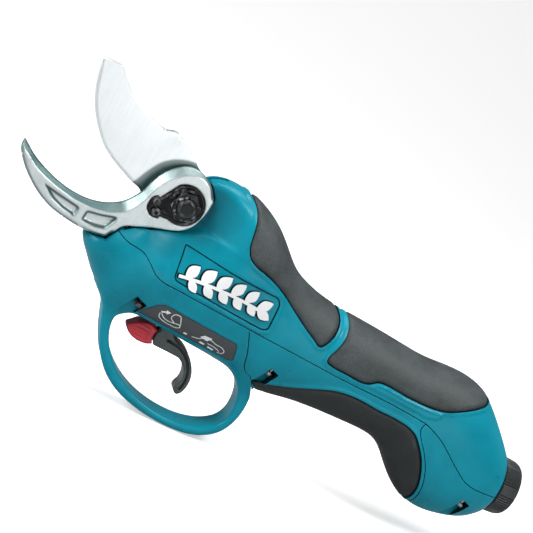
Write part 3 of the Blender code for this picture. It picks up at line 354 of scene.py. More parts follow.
def body(x, y, z):
    """The pruner's body without its guard: superellipse sections along x."""
    top, bottom, half, power = (np.interp(x, BODY_X, column) for column in SECTIONS)
    middle, tall = (top + bottom) / 2, np.maximum((top - bottom) / 2, 0.35)
    half = np.maximum(half, 0.35)
    u, v = np.abs(z - middle) / tall, np.abs(y) / half
    u_pow, v_pow = u ** power, v ** power
    total = np.maximum(u_pow + v_pow, 1e-6)
    norm = total ** (1 / power)
    k = total / norm
    slope = np.sqrt((u_pow / np.maximum(u, 1e-3) / k / tall) ** 2
                    + (v_pow / np.maximum(v, 1e-3) / k / half) ** 2)
    dist = (norm - 1) / np.maximum(slope, 0.012)
    dist = smax(dist, -36.0 - x, 1.5)
    return smax(dist, x - 210.8, 2.2)


DISH_R = np.linspace(0, 60, 601)


def dish_profile(*stations):
    """Smoothed y of a head face against DISH_R, and its slope."""
    radius, face = np.array(stations, float).T
    level = np.interp(DISH_R, radius, face)
    level = np.convolve(np.pad(level, 30, "edge"), np.ones(13) / 13, "same")[30:-30]
    return level, np.gradient(level, DISH_R)


# Head faces: distance from the pivot axis, y
NEAR_DISH = dish_profile(
    (0, -5), (10.6, -5), (12.4, -5.5), (14.5, -6.5), (17, -8), (20, -10), (24, -12.8),
    (28, -15.5), (33, -18.4), (40, -22), (60, -34))
NEAR_SHELF = dish_profile(
    (0, -5), (11.6, -5.4), (13.2, -7.6), (15, -9.6), (18, -11.6), (22, -13.7), (27, -16),
    (33, -18.6), (40, -22), (60, -34))
FAR_DISH = dish_profile(
    (0, 8.6), (12, 8.6), (14.5, 8.65), (17, 9.3), (20, 11.4), (24, 14.6), (28, 18.4),
    (33, 24), (46, 42))


def dish(x, y, z, profile, side):
    level, slope = profile
    r = from_point(x, z)
    face = np.interp(r, DISH_R, level)
    lean = 1 / np.sqrt(1 + np.interp(r, DISH_R, slope) ** 2)
    return (face - y) * lean if side < 0 else (y - face) * lean


WHOLE = ((-44, -112), (220, 42))
PANELS = ((-4, -64), (72, -6))
pad_front, pad_rear = curve(PAD_FRONT), curve(PAD_REAR)
pad_low = np.vstack([curve(PAD_LOWER_EDGE, closed=False), [(75.6, -95), (74.2, -69.8)]])
to_front, to_rear, to_low = (Outline(p, WHOLE) for p in (pad_front, pad_rear, pad_low))
to_guard = Outline(curve(GUARD, 5, sharp=(0, 17, 18, 35)), WHOLE)
badge_line, label_line = rounded(BADGE, 1.5), rounded(LABEL, 1.0)
to_badge, to_label = Outline(badge_line, PANELS, 0.25), Outline(label_line, PANELS, 0.25)
to_ledge = Outline(rounded(LEDGE, 1.5), ((108, -50), (174, -24)), 0.3)
to_crease = Outline(
    np.vstack([curve(CREASE, closed=False), [(44, 20), (30, 40), (-14, 40), (-14, -10)]]),
    ((-44, -50), (60, 42)))


def relief(x, z):
    """How far the teal skin stands out from, or lies under, the plain body."""
    r = np.zeros(np.broadcast(x, z).shape)
    for to_pad in (to_front, to_rear, to_low):
        d = to_pad(x, z)
        r = np.maximum(r, 0.42 * rise(-1.4, -0.2, d) * fade(1.3, 2.3, d))
    d = to_badge(x, z)
    r = r - 0.55 * fade(-0.9, 0.1, d) + 0.35 * rise(-0.1, 0.7, d) * fade(1.2, 2.4, d)
    d = to_label(x, z)
    r = r + 0.25 * rise(0.0, 0.7, d) * fade(1.0, 2.0, d)
    r = r + 0.55 * fade(-0.9, 0.2, to_ledge(x, z))
    d = to_crease(x, z)
    return (r - 0.9 * fade(-2.2, 0.2, d) * fade(2, 13, z) * fade(27, 34, x)
            + 0.25 * fade(0.5, 1.8, np.abs(d - 0.9)) * fade(30, 37, x) * rise(2, 7, x))


def near_side(x, y, z):
    """The head's near face: a shallow dish round the pivot, and a fuller shelf under its crease."""
    w = rise(-1.6, 0.5, to_crease(x, z))
    return dish(x, y, z, NEAR_DISH, -1) * (1 - w) + dish(x, y, z, NEAR_SHELF, -1) * w


def dished(dist, x, y, z, inset=0.0, blend=2.6):
    dist = smax(dist, near_side(x, y, z) + inset, blend)
    return smax(dist, dish(x, y, z, FAR_DISH, 1) + inset, blend)


def plain(x, y, z):
    """Body with the head's two dishes."""
    return dished(body(x, y, z), x, y, z)


def strap(x, y, z):
    """The guard loop under the trigger."""
    return round_rim(to_guard(x, z), np.abs(y) - 8.0, 1.75)


def teal(x, y, z):
    """The outer skin of the housing."""
    dist = body(x, y, z) - relief(x, z)
    dist = smin(dist, strap(x, y, z) + 30.0 * rise(-52, -46, z), 7.0)
    return dished(dist, x, y, z)


def pad_skin(to_pad):
    def field(x, y, z):
        d = -to_pad(x, z)
        return plain(x, y, z) - (0.62 * rise(0.0, 2.6, d) - 0.55 * fade(0.0, 1.0, d))
    return field


def cavity(x, y, z):
    """The hollow of the housing, wider round the drive, which lies close to the walls."""
    dist = dished(body(x, y, z) + 3.9, x, y, z, inset=2.6, blend=1.0)
    px, pz = x - DRIVE_FOOT[0], z - DRIVE_FOOT[2]
    along = px * DRIVE_DIR[0] + pz * DRIVE_DIR[2]
    across = px * DRIVE_DOWN[0] + pz * DRIVE_DOWN[2]
    tube = np.maximum(np.sqrt(y * y + across * across) - 16.5,
                      np.maximum(40.0 - along, along - 127.0))
    return np.minimum(dist, np.maximum(tube, body(x, y, z) + 1.2))


# ------------------------------------------------------------------ meshes
UNIT = np.eye(3, dtype=int)


def surface(field, low, high, cell, steps):
    """Points and quads of a field's zero level: dual cells, then pulled onto the surface."""
    axes = [np.arange(low[i], high[i] + cell, cell) for i in range(3)]
    size = [len(a) for a in axes]
    values = np.broadcast_to(field(*np.ix_(*axes)).astype(np.float32), size).copy()
    for axis in range(3):      # always closed at the box
        for end in (0, -1):
            face = [slice(None)] * 3
            face[axis] = end
            values[tuple(face)] = np.maximum(values[tuple(face)], 0.01)
    values[values == 0] = 1e-5
    inside = values < 0
    corners = list(product((0, 1), repeat=3))
    count = np.zeros([n - 1 for n in size], np.int8)
    for i, j, k in corners:
        count += inside[i:size[0] - 1 + i, j:size[1] - 1 + j, k:size[2] - 1 + k]
    active = (count > 0) & (count < 8)
    index = np.full(active.shape, -1, np.int64)
    cells = np.argwhere(active)
    index[active] = np.arange(len(cells))

    # one point per cell: the mean of the crossings on its edges
    total, hits = np.zeros((len(cells), 3)), np.zeros(len(cells))
    for corner in corners:
        for axis in range(3):
            if corner[axis]:
                continue
            a = values[tuple((cells + corner).T)]
            b = values[tuple((cells + corner + UNIT[axis]).T)]
            cross = (a < 0) != (b < 0)
            t = np.where(cross, a / np.where(cross, a - b, 1.0), 0.0)
            place = np.array(corner, float)[None, :] + np.outer(t, UNIT[axis])
            total[cross] += place[cross]
            hits[cross] += 1
    points = (cells + total / hits[:, None]) * cell + np.array([a[0] for a in axes])

    # one quad round every grid edge that crosses
    quads = []
    for axis in range(3):
        start, end = [slice(1, -1)] * 3, [slice(1, -1)] * 3
        start[axis], end[axis] = slice(0, -1), slice(1, None)
        first = inside[tuple(start)]
        edges = np.argwhere(first != inside[tuple(end)])
        flip = first[tuple(edges.T)]
        edges = edges + (1 - UNIT[axis])
        u, v = UNIT[(axis + 1) % 3], UNIT[(axis + 2) % 3]
        quad = np.stack([index[tuple((edges - a * u - b * v).T)]
                         for a, b in ((1, 1), (0, 1), (0, 0), (1, 0))], 1)
        quad[~flip] = quad[~flip][:, ::-1]
        quads.append(quad)

    e = 0.03
    for _ in range(steps):
        x, y, z = points.T
        dist = field(x, y, z)
        slope = np.stack([field(x + e, y, z) - field(x - e, y, z),
                          field(x, y + e, z) - field(x, y - e, z),
                          field(x, y, z + e) - field(x, y, z - e)], 1) / (2 * e)
        square = np.maximum((slope * slope).sum(1), 0.04)
        points = points - np.clip(dist / square, -0.45 * cell, 0.45 * cell)[:, None] * slope
    return points, np.vstack(quads)


def to_world(points):
    return (np.asarray(points, float) + SHIFT) * MM


def design_places(items, key):
    """x, y, z in design units of a mesh's vertices or faces."""
    flat = np.empty(len(items) * 3)
    items.foreach_get(key, flat)
    return (flat.reshape(-1, 3) * 1000 - SHIFT).T


def link(name, data):
    o = bpy.data.objects.new(name, data)
    bpy.context.scene.collection.objects.link(o)
    return o


def net(name, field, low, high, cell, steps=2):
    points, quads = surface(field, low, high, cell, steps)
    mesh = bpy.data.meshes.new(name)
    mesh.vertices.add(len(points))
    mesh.vertices.foreach_set("co", to_world(points).astype(np.float32).ravel())
    mesh.loops.add(quads.size)
    mesh.loops.foreach_set("vertex_index", quads.ravel().astype(np.int32))
    mesh.polygons.add(len(quads))
    mesh.polygons.foreach_set("loop_start", np.arange(0, quads.size, 4, dtype=np.int32))
    mesh.update(calc_edges=True)
    return link(name, mesh)


def core(field, depth, low, high, cell):
    """The solid that lies deeper than depth under a field's surface."""
    return net("core", lambda x, y, z: field(x, y, z) + depth, low, high, cell, 1)


@contextmanager
def edited(mesh):
    bm = bmesh.new()
    bm.from_mesh(mesh)
    yield bm
    bm.to_mesh(mesh)
    bm.free()


def make(name, verts, faces):
    mesh = bpy.data.meshes.new(name)
    mesh.from_pydata([tuple(v) for v in to_world(verts)], [], faces)
    mesh.update()
    with edited(mesh) as bm:
        bmesh.ops.recalc_face_normals(bm, faces=bm.faces)
    return link(name, mesh)


def drop(*objects):
    for o in objects:
        mesh = o.data
        bpy.data.objects.remove(o, do_unlink=True)
        if mesh.users == 0:
            bpy.data.meshes.remove(mesh)


def settle(o):
    """Applies the object's modifiers."""
    bpy.context.view_layer.update()
    deps = bpy.context.evaluated_depsgraph_get()
    mesh = bpy.data.meshes.new_from_object(o.evaluated_get(deps))
    old = o.data
    o.modifiers.clear()
    o.data = mesh
    if old.users == 0:
        bpy.data.meshes.remove(old)
    return o


def boolean(o, other, operation, keep=False):
    m = o.modifiers.new(operation, "BOOLEAN")
    m.operation, m.solver, m.object = operation, "MANIFOLD", other
    settle(o)
    if not keep:
        drop(other)


def cut(o, *others, keep=False):
    for other in others:
        boolean(o, other, "DIFFERENCE", keep)


def fuse(o, *others):
    for other in others:
        boolean(o, other, "UNION")


def prism(points, y0, y1):
    """An x, z outline carried from y0 to y1."""
    n = len(points)
    verts = [(x, y, z) for y in (y0, y1) for x, z in points]
    faces = [list(range(n)), list(range(n, 2 * n))[::-1]]
    faces += [[i, (i + 1) % n, n + (i + 1) % n, n + i] for i in range(n)]
    return make("prism", verts, faces)


def lathe(profile, origin, axis, segments=64, wobble=None):
    """Closed profile of (distance along the axis, radius) turned about the axis.

    wobble(angle, radius) may change the radius."""
    along = Vector(axis).normalized()
    side = Vector((0, 1, 0)) if abs(along.y) < 0.9 else Vector((1, 0, 0))
    u = (side - along * side.dot(along)).normalized()
    v = along.cross(u)
    origin = Vector(origin)
    verts, rings = [], []
    for t, radius in profile:
        if radius <= 1e-6:
            rings.append([len(verts)])
            verts.append(tuple(origin + along * t))
            continue
        rings.append(list(range(len(verts), len(verts) + segments)))
        for i in range(segments):
            q = 2 * math.pi * i / segments
            r = wobble(q, radius) if wobble else radius
            verts.append(tuple(origin + along * t + (u * math.cos(q) + v * math.sin(q)) * r))
    faces = []
    for a, b in zip(rings, rings[1:] + rings[:1]):
        if len(a) == 1 and len(b) == 1:
            continue
        for i in range(segments):
            j = (i + 1) % segments
            if len(a) == 1:
                faces.append([a[0], b[i], b[j]])
            elif len(b) == 1:
                faces.append([a[i], b[0], a[j]])
            else:
                faces.append([a[i], b[i], b[j], a[j]])
    return make("lathe", verts, faces)


def rod(origin, axis, t0, t1, radius, segments):
    return lathe([(t0, 0), (t0, radius), (t1, radius), (t1, 0)], origin, axis, segments)


def box_along(origin, direction, t0, t1, half, y0, y1):
    """Straight box along a direction in the x, z plane, with its sides at y0 and y1."""
    d = np.array(direction) / math.hypot(*direction)
    n = np.array([-d[1], d[0]])
    o = np.array(origin)
    return prism([o + d * t0 - n * half, o + d * t1 - n * half,
                  o + d * t1 + n * half, o + d * t0 + n * half], y0, y1)


def round_edges(o, width):
    m = o.modifiers.new("edge", "BEVEL")
    m.width = width * MM
    m.segments = 2
    m.limit_method = "ANGLE"
    m.angle_limit = math.radians(35)
    m.miter_outer = "MITER_ARC"
    m.use_clamp_overlap = True
    return settle(o)


def tidy(o):
    with edited(o.data) as bm:
        bmesh.ops.remove_doubles(bm, verts=bm.verts, dist=0.01 * MM)
        bmesh.ops.dissolve_degenerate(bm, dist=0.002 * MM, edges=bm.edges)
    return o


def keep_largest(o):
    """Deletes all but the connected part with the most vertices."""
    with edited(o.data) as bm:
        left, groups = set(bm.verts), []
        while left:
            todo, group = [left.pop()], set()
            while todo:
                vert = todo.pop()
                group.add(vert)
                for edge in vert.link_edges:
                    other = edge.other_vert(vert)
                    if other in left:
                        left.discard(other)
                        todo.append(other)
            groups.append(group)
        groups.sort(key=len)
        spare = [vert for group in groups[:-1] for vert in group]
        bmesh.ops.delete(bm, geom=spare, context="VERTS")


def shade(o, amount):
    """Marks part of a piece, 0 to 1, where its finish takes a painted shade colour, such as round
    the hub or on the anvil's ground face.
    """
    value = amount(*design_places(o.data.vertices, "co"))
    attribute = o.data.attributes.new("shade", "FLOAT", "POINT")
    attribute.data.foreach_set("value", np.asarray(value, np.float32))


def smooth(o, sharp):
    o.data.shade_smooth()
    o.data.set_sharp_from_angle(angle=math.radians(sharp))


def piece(o, name, look, rides, sharp, replaces=True):
    """Names and finishes a piece; edges above sharp degrees stay crisp."""
    o.name = name
    o.data.name = name
    o.data.materials.clear()
    o.data.materials.append(MATERIALS[look])
    smooth(o, sharp)
    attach(o, rides)
    if replaces:
        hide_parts(name)


# ------------------------------------------------------------------ finishes
MATERIALS = {}


def plug(tree, node, inputs):
    """Links or sets a node's inputs; colours get an alpha of 1."""
    for key, value in inputs.items():
        socket = node.inputs[key]
        if isinstance(value, bpy.types.NodeSocket):
            tree.links.new(value, socket)
        elif socket.type == "RGBA":
            socket.default_value = (*value, 1.0)
        else:
            socket.default_value = value


def add_node(tree, kind, inputs=None, **settings):
    node = tree.nodes.new("ShaderNode" + kind)
    for key, value in settings.items():
        setattr(node, key, value)
    plug(tree, node, inputs or {})
    return node


def mix_colour(tree, factor, a, b):
    return add_node(tree, "Mix", {0: factor, 6: a, 7: b}, data_type="RGBA").outputs[2]


def finish(key, colour, rough, soil, metal=0.0, patch=(0.10, 90), grain=(0.05, 1800), bump=0.12,
           rough_var=0.10, wear=None, brush=None, edge=0.18, spec=0.5, shaded=None):
    """Layered finish. Pairs are (amount, scale) for the slow patches and the fine grain,
    (amount, colour) for soil and for wear on rubbed edges, and (amount, scales) for brush
    streaks. edge is the softened edge radius in mm, shaded the colour of painted shade
    where "shade" is 1."""
    material = bpy.data.materials.new(key)
    material.use_nodes = True
    tree = material.node_tree
    object_coords = add_node(tree, "TexCoord").outputs["Object"]

    def noise(scale, detail=3.0, roughness=0.55, distortion=0.0, vector=object_coords):
        return add_node(tree, "TexNoise", {
            "Scale": scale, "Detail": detail, "Roughness": roughness,
            "Distortion": distortion, "Vector": vector}).outputs["Fac"]

    def remap(value, from_min, from_max, to_min, to_max):
        return add_node(tree, "MapRange", {
            "From Min": from_min, "From Max": from_max, "To Min": to_min, "To Max": to_max,
            "Value": value}).outputs["Result"]

    def mix(factor, a, b):
        return mix_colour(tree, factor, a, b)

    def calc(operation, a, b):
        return add_node(tree, "Math", {0: a, 1: b}, operation=operation).outputs[0]

    def darker(tint, factor):
        return tuple(c * factor for c in tint)

    slow = noise(patch[1], detail=4.0, roughness=0.6, distortion=0.3)
    fine = noise(grain[1], detail=2.0, roughness=0.5)
    base = mix(remap(slow, 0.3, 0.7, 0.0, 1.0),
               tuple(max(0.0, c * (1 - patch[0])) for c in colour),
               tuple(min(1.0, c * (1 + patch[0])) for c in colour))
    base = mix(remap(fine, 0.3, 0.7, 0.0, grain[0] * 2), base, darker(colour, 0.55))
    height = fine
    if brush:
        vector = add_node(tree, "Mapping", {
            "Scale": brush[1], "Rotation": (0.0, 0.6, 0.0), "Vector": object_coords})
        streak = noise(1.0, roughness=0.6, vector=vector.outputs["Vector"])
        base = mix(remap(streak, 0.35, 0.65, 0.0, brush[0]), base, darker(colour, 0.62))
        height = calc("ADD", calc("MULTIPLY", fine, 0.35), streak)
    roughness = remap(slow, 0.25, 0.75, max(0.05, rough - rough_var), min(1.0, rough + rough_var))
    if shaded:
        mark = add_node(tree, "Attribute", attribute_name="shade").outputs["Fac"]
        tint = mix(remap(fine, 0.3, 0.7, 0.0, 0.5), shaded, darker(shaded, 0.8))
        base = mix(mark, base, tint)
    if wear:
        geometry = add_node(tree, "NewGeometry")
        edges = remap(geometry.outputs["Pointiness"], 0.53, 0.60, 0.0, 1.0)
        chips = remap(noise(420.0, detail=4.0, roughness=0.7), 0.42, 0.62, 0.0, wear[0])
        chip = calc("MULTIPLY", edges, chips)
        base = mix(chip, base, wear[1])
        roughness = calc("ADD", roughness, calc("MULTIPLY", chip, 0.12))
    dust = remap(noise(38.0, detail=6.0, roughness=0.7, distortion=0.6), 0.52, 0.78, 0.0, soil[0])
    base = mix(dust, base, soil[1])
    roughness = calc("ADD", roughness, calc("MULTIPLY", dust, 0.25))
    bumps = add_node(tree, "Bump", {"Strength": bump, "Distance": 0.00025, "Height": height})
    if edge:
        bevel = add_node(tree, "Bevel", {"Radius": edge * MM}, samples=4)
        tree.links.new(bevel.outputs["Normal"], bumps.inputs["Normal"])
    plug(tree, tree.nodes["Principled BSDF"], {
        "Normal": bumps.outputs["Normal"], "Base Color": base, "Roughness": roughness,
        "Metallic": metal, "Specular IOR Level": spec})
    MATERIALS[key] = material


# shaded is the colour of the painted shade round the hub on the near side of the casing.
finish("teal", colour=(0.0, 0.245, 0.332), rough=0.33, patch=(0.13, 55), grain=(0.04, 1800),
       bump=0.10, wear=(0.25, (0.06, 0.34, 0.42)), soil=(0.22, (0.03, 0.31, 0.37)), edge=0.3,
       spec=0.20, shaded=(0.0, 0.065, 0.090))
# The next two finishes are darker teal that paints the shade in part lines, pad grooves, screw
# wells, the badge's recesses and on the badge mark's flanks.
finish("well", colour=(0.0, 0.030, 0.040), rough=0.6, patch=(0.2, 120), grain=(0.1, 1800),
       bump=0.15, soil=(0.1, (0.01, 0.02, 0.02)), edge=0, spec=0.2)
# Painted shade in the badge's rim groove.
finish("groove", colour=(0.0, 0.085, 0.112), rough=0.5, patch=(0.2, 120), grain=(0.1, 1800),
       bump=0.15, soil=(0.1, (0.01, 0.05, 0.06)), edge=0, spec=0.2)
# The lower pad's rubber is a darker copy of the grip rubber, standing for the shade that falls on
# the lower pad.
finish("rubber_painted_shade", colour=(0.018, 0.022, 0.023), rough=0.55, patch=(0.42, 90),
       grain=(0.30, 1300), bump=0.40, wear=(0.3, (0.12, 0.13, 0.13)),
       soil=(0.12, (0.07, 0.08, 0.08)), edge=0.25, spec=0.40)
finish("rubber", colour=(0.052, 0.063, 0.065), rough=0.54, patch=(0.40, 80),
       grain=(0.30, 1300), bump=0.40, wear=(0.3, (0.12, 0.13, 0.13)),
       soil=(0.15, (0.095, 0.11, 0.11)), edge=0.25, spec=0.32)
finish("steel", colour=(0.74, 0.77, 0.78), rough=0.30, metal=1.0, patch=(0.05, 50), bump=0.10,
       brush=(0.16, (60, 60, 1800)), soil=(0.08, (0.55, 0.58, 0.58)), edge=0.15)
# shaded is the colour of the painted shadow band round the pivot.
finish("blade", colour=(0.92, 0.965, 0.975), rough=0.36, metal=0.85, patch=(0.05, 35),
       bump=0.10, brush=(0.16, (1700, 50, 60)), soil=(0.12, (0.56, 0.62, 0.64)),
       wear=(0.1, (0.97, 0.97, 0.97)), edge=0.15, shaded=(0.035, 0.075, 0.075))
# shaded is the colour of the painted shade and reflection on the anvil's ground face, pocket walls
# and outer edge.
finish("anvil", colour=(0.74, 0.80, 0.80), rough=0.40, metal=0.9, patch=(0.10, 120),
       grain=(0.12, 1400), bump=0.22, brush=(0.10, (1500, 60, 120)),
       soil=(0.12, (0.40, 0.47, 0.47)), wear=(0.9, (0.97, 0.98, 0.98)), edge=0.2,
       shaded=(0.12, 0.20, 0.20))
finish("black", colour=(0.008, 0.009, 0.010), rough=0.30, patch=(0.25, 200),
       grain=(0.2, 1800), bump=0.22, wear=(0.8, (0.20, 0.21, 0.22)),
       soil=(0.10, (0.04, 0.04, 0.04)), edge=0.2, spec=0.22)
finish("bolt", colour=(0.013, 0.014, 0.015), rough=0.32, metal=0.1, patch=(0.2, 220),
       grain=(0.15, 1800), rough_var=0.06, wear=(0.9, (0.44, 0.45, 0.46)),
       soil=(0.08, (0.04, 0.04, 0.04)), edge=0.2, spec=0.26)
# The screw steel is darkened as painted shade of the wells the screws sit in.
finish("screw", colour=(0.34, 0.35, 0.36), rough=0.36, metal=1.0, patch=(0.15, 200), bump=0.15,
       brush=(0.3, (300, 300, 300)), soil=(0.3, (0.05, 0.06, 0.06)))
finish("bearing", colour=(0.60, 0.61, 0.62), rough=0.26, metal=1.0, patch=(0.05, 90), bump=0.06,
       brush=(0.12, (300, 300, 300)), soil=(0.05, (0.4, 0.36, 0.28)))
finish("dark", colour=(0.030, 0.033, 0.035), rough=0.46, patch=(0.18, 160), grain=(0.2, 1800),
       bump=0.30, wear=(0.5, (0.12, 0.13, 0.13)), soil=(0.12, (0.07, 0.07, 0.068)), edge=0.22)
# shaded is the colour of the painted shade in the trigger's side channel.
finish("trigger", colour=(0.060, 0.073, 0.071), rough=0.36, patch=(0.20, 160),
       grain=(0.12, 1800), bump=0.18, wear=(0.8, (0.30, 0.36, 0.34)),
       soil=(0.12, (0.11, 0.13, 0.125)), edge=0.22, shaded=(0.006, 0.008, 0.008))
finish("red", colour=(0.57, 0.030, 0.050), rough=0.38, patch=(0.12, 180), grain=(0.06, 1800),
       bump=0.15, wear=(0.6, (0.75, 0.13, 0.16)), soil=(0.10, (0.20, 0.01, 0.02)), edge=0.22)
finish("label", colour=(0.060, 0.066, 0.070), rough=0.45, patch=(0.10, 120),
       grain=(0.10, 1800), bump=0.08, soil=(0.08, (0.08, 0.08, 0.08)), edge=0.1)
finish("white", colour=(0.86, 0.87, 0.87), rough=0.42, patch=(0.04, 120), grain=(0.03, 1800),
       bump=0.05, soil=(0.06, (0.62, 0.66, 0.66)), edge=0.1)
finish("alu", colour=(0.60, 0.61, 0.62), rough=0.45, metal=1.0, patch=(0.10, 150),
       grain=(0.12, 1800), bump=0.35, soil=(0.10, (0.30, 0.30, 0.30)))
finish("brass", colour=(0.70, 0.50, 0.22), rough=0.30, metal=1.0, bump=0.08,
       brush=(0.15, (400, 60, 400)), soil=(0.12, (0.35, 0.22, 0.10)))
finish("copper", colour=(0.62, 0.26, 0.11), rough=0.34, metal=1.0, patch=(0.14, 90), bump=0.5,
       brush=(0.5, (1400, 200, 1400)), soil=(0.1, (0.25, 0.10, 0.05)))
finish("pcb", colour=(0.015, 0.15, 0.06), rough=0.45, patch=(0.2, 260), grain=(0.15, 1800),
       bump=0.3, soil=(0.15, (0.30, 0.24, 0.10)))
finish("redwire", colour=(0.42, 0.02, 0.02), rough=0.45, patch=(0.15, 90), bump=0.2,
       soil=(0.1, (0.12, 0.01, 0.01)))
finish("blackwire", colour=(0.025, 0.025, 0.027), rough=0.45, patch=(0.2, 90), bump=0.2,
       soil=(0.1, (0.07, 0.07, 0.07)))

# ------------------------------------------------------------------ housing shells
SEAM_STEPS = 5


def seam_line(points):
    return [tuple(p) for p in curve(points, SEAM_STEPS, closed=False)]


upper_pts, guard_pts, rear_pts = (seam_line(p) for p in (SEAM_UPPER, SEAM_GUARD, SEAM_REAR))
tail_pts = seam_line([SEAM_UPPER[-1]] + SEAM_TAIL)
fork = SEAM_UPPER.index(SEAM_GUARD[0]) * SEAM_STEPS   # where the guard's part line branches off
to_seams = [Outline(p, WHOLE, closed=False)
            for p in (seam_line(SEAM_UPPER + SEAM_TAIL), guard_pts, rear_pts)]
SHELL_OUTLINES = {
    "upper_housing": upper_pts + tail_pts[1:] + [
        (216, -62.8), (216, 40), (-50, 40), (-50, -22), (-30, -23)],
    "guard_housing": moved(upper_pts[:fork + 1], 0, -SEAM) + moved(guard_pts[1:], -SEAM, 0) + [
        (76, -76), (76, -110), (-50, -110), (-50, -22 - SEAM), (-30, -23 - SEAM)],
    "lower_housing": moved(upper_pts[fork:], 0, -SEAM) + moved(rear_pts[1:], -SEAM, 0) + [
        (173.4, -110), (77, -110)] + moved(guard_pts[:0:-1], 0.05, 0),
    "rear_cover": moved(tail_pts[1:], 0, -SEAM) + [
        (216, -62.8 - SEAM), (216, -110), (174.1, -110)]
        + moved(rear_pts[-2:0:-1], 0.05, 0) + [(155.8, -43)],
}

# Pads: outline, its distance, box of the pad's net, finish
PADS = {
    "front_grip_pad": (pad_front, to_front, (18, -23, -34), (97, 23, 22), "rubber"),
    "rear_grip_pad": (pad_rear, to_rear, (92, -23, -41), (190, 23, -10), "rubber"),
    "lower_grip_pad": (pad_low, to_low, (66, -23, -91), (174.5, 23, -43), "rubber_painted_shade"),
}


def pad_floor(depth):
    return core(plain, depth, (16, -22, -90), (190, 22, 20), 1.3)


outer = net("outer", teal, (-38.5, -23.5, -104.5), (213, 23.5, 21.5), 0.75)
inner = net("inner", cavity, (-36, -20, -86), (209, 20, 20), 1.5, 1)

anvil_bay = prism(shrink(curve(ANVIL, 4, sharp=ANVIL_SHARP), -0.75), -40, -1.2)
fuse(anvil_bay, prism([(-60, 40), (-60, -30), (-26, -29), (-22, -21), (0, -12), (10, 0),
                       (10.6, 8), (3, 16), (0, 40)], -40, -1.25))
head_rooms = [
    anvil_bay,
    # round the pivot
    rod(CENTRE, ALONG_Y, -1.5, 40, 12.6, 64),
    # blade slot
    prism([(-40, 60), (14.6, 60), (14.6, -6), (17, -22), (15, -30), (-22, -30), (-24, -10),
           (-40, -10)], -2.3, 2.3),
    # yoke room
    prism([(-22, -27), (-20.5, -21.4), (-18, -19.1), (4, -19.1), (22, -21), (30, -22),
           (30, -30), (-19, -30)], -8.25, 8.25),
    # nut room
    rod(DRIVE_FOOT, DRIVE_DIR, -6, 47, 9.5, 32),
    # frame room
    prism([(-13, 9), (-5, 11.6), (2.2, 12.2), (9.2, 8.4), (31.4, -1.8), (46.6, -11.2),
           (50, -20.6), (40, -20.2), (22, -15.6), (12, -10), (4, -11.7), (-4, -11.5),
           (-13, -7)], 2.1, 7),
    # tang room
    prism([(7, -9), (32, -14.6), (32, -2.2), (8, 4.4)], -3.9, 7),
]
socket_mouth = rod((0, 0, SOCKET_Z), ALONG_X, 196, 220, 12.3, 72)
trigger_slot = prism([(1.5, -75), (47.5, -75), (47.5, -50), (1.5, -50)], -7, 7)

pocket_floor = pad_floor(2.0)
pockets = {}
for name, (outline, *_) in PADS.items():
    pockets[name] = prism(shrink(outline, -PAD_GAP), -40, 40)
    cut(pockets[name], pocket_floor, keep=True)
solid_body = core(teal, 0.3, (-12, -23, -92), (206, 23, -40), 1.2)


def add_screw_seats(shell, name, hull):
    """A boss for each of the shell's screws, with an open well in front of the head."""
    x, z, reach, well_half, well_shift, _ = SCREW_PAIRS[name]
    for side in (-1, 1):
        place = (x, side * reach, z)
        boss = rod(place, SCREW_DIR, -14, 7, 4.9, 32)
        boolean(boss, solid_body, "INTERSECT", keep=True)
        fuse(shell, boss)
        boolean(shell, hull, "INTERSECT", keep=True)
        y0, y1 = (place[1] - 2.9, 40) if side > 0 else (-40, place[1] + 2.9)
        cut(shell,
            box_along((x - well_shift, z), SCREW_DIR[::2], -24, 1.9, well_half, y0, y1),
            rod(place, SCREW_DIR, 0, 9, 1.55, 24))


def paint_recess_shade(shell, name):
    """Walls of part lines, grooves and screw wells take the shell's darker materials, which paint
    the shade in these recesses.

    The hollow inside keeps the first material."""
    faces = shell.data.polygons
    x, y, z = design_places(faces, "center")
    index = np.zeros(len(faces), np.int32)
    depth = teal(x, y, z)
    if name in SCREW_PAIRS:
        sx, sz, reach, half, shift, start = SCREW_PAIRS[name]
        dx, dz = np.array(SCREW_DIR[::2]) / math.hypot(*SCREW_DIR[::2])
        along = (x - (sx - shift)) * dx + (z - sz) * dz
        across = -(x - (sx - shift)) * dz + (z - sz) * dx
        for side in (-1, 1):
            index[(depth < -0.25) & (np.abs(across) < half + 0.15) & (along < 2.1)
                  & (along > start) & (y * side > reach - 3.1)] = 1
    near = np.minimum.reduce([np.abs(f(x, z)) for f in (to_front, to_rear, to_low)]) < 0.5
    near |= np.minimum.reduce([f(x, z) for f in to_seams]) < 0.6
    near |= np.abs(to_label(x, z)) < 0.3
    wall = (depth < -0.28) & (depth > -3.4)
    index[near & wall] = 1
    index[(to_badge(x, z) < 0.3) & wall] = 2
    index[(to_badge(x, z) < -1.2) & wall] = 1
    faces.foreach_set("material_index", index)


def build_shell(name, outline):
    shell = link(name, outer.data.copy())
    hull = prism(outline, -45, 45)
    boolean(shell, hull, "INTERSECT", keep=True)
    cut(shell, inner, keep=True)
    if name == "lower_housing":
        cut(shell, pockets["lower_grip_pad"], keep=True)
    if name == "upper_housing":
        cut(shell, pockets["front_grip_pad"], pockets["rear_grip_pad"], keep=True)
    if name in SCREW_PAIRS:
        add_screw_seats(shell, name, hull)
    drop(hull)
    if name in ("upper_housing", "guard_housing"):
        cut(shell, *head_rooms, keep=True)
    if name in ("upper_housing", "rear_cover"):
        cut(shell, socket_mouth, keep=True)
    if name == "guard_housing":
        cut(shell, trigger_slot, keep=True)
    keep_largest(shell)
    piece(shell, name, "teal", "housing", 36)
    shell.data.materials.append(MATERIALS["well"])
    shell.data.materials.append(MATERIALS["groove"])
    paint_recess_shade(shell, name)
    return shell


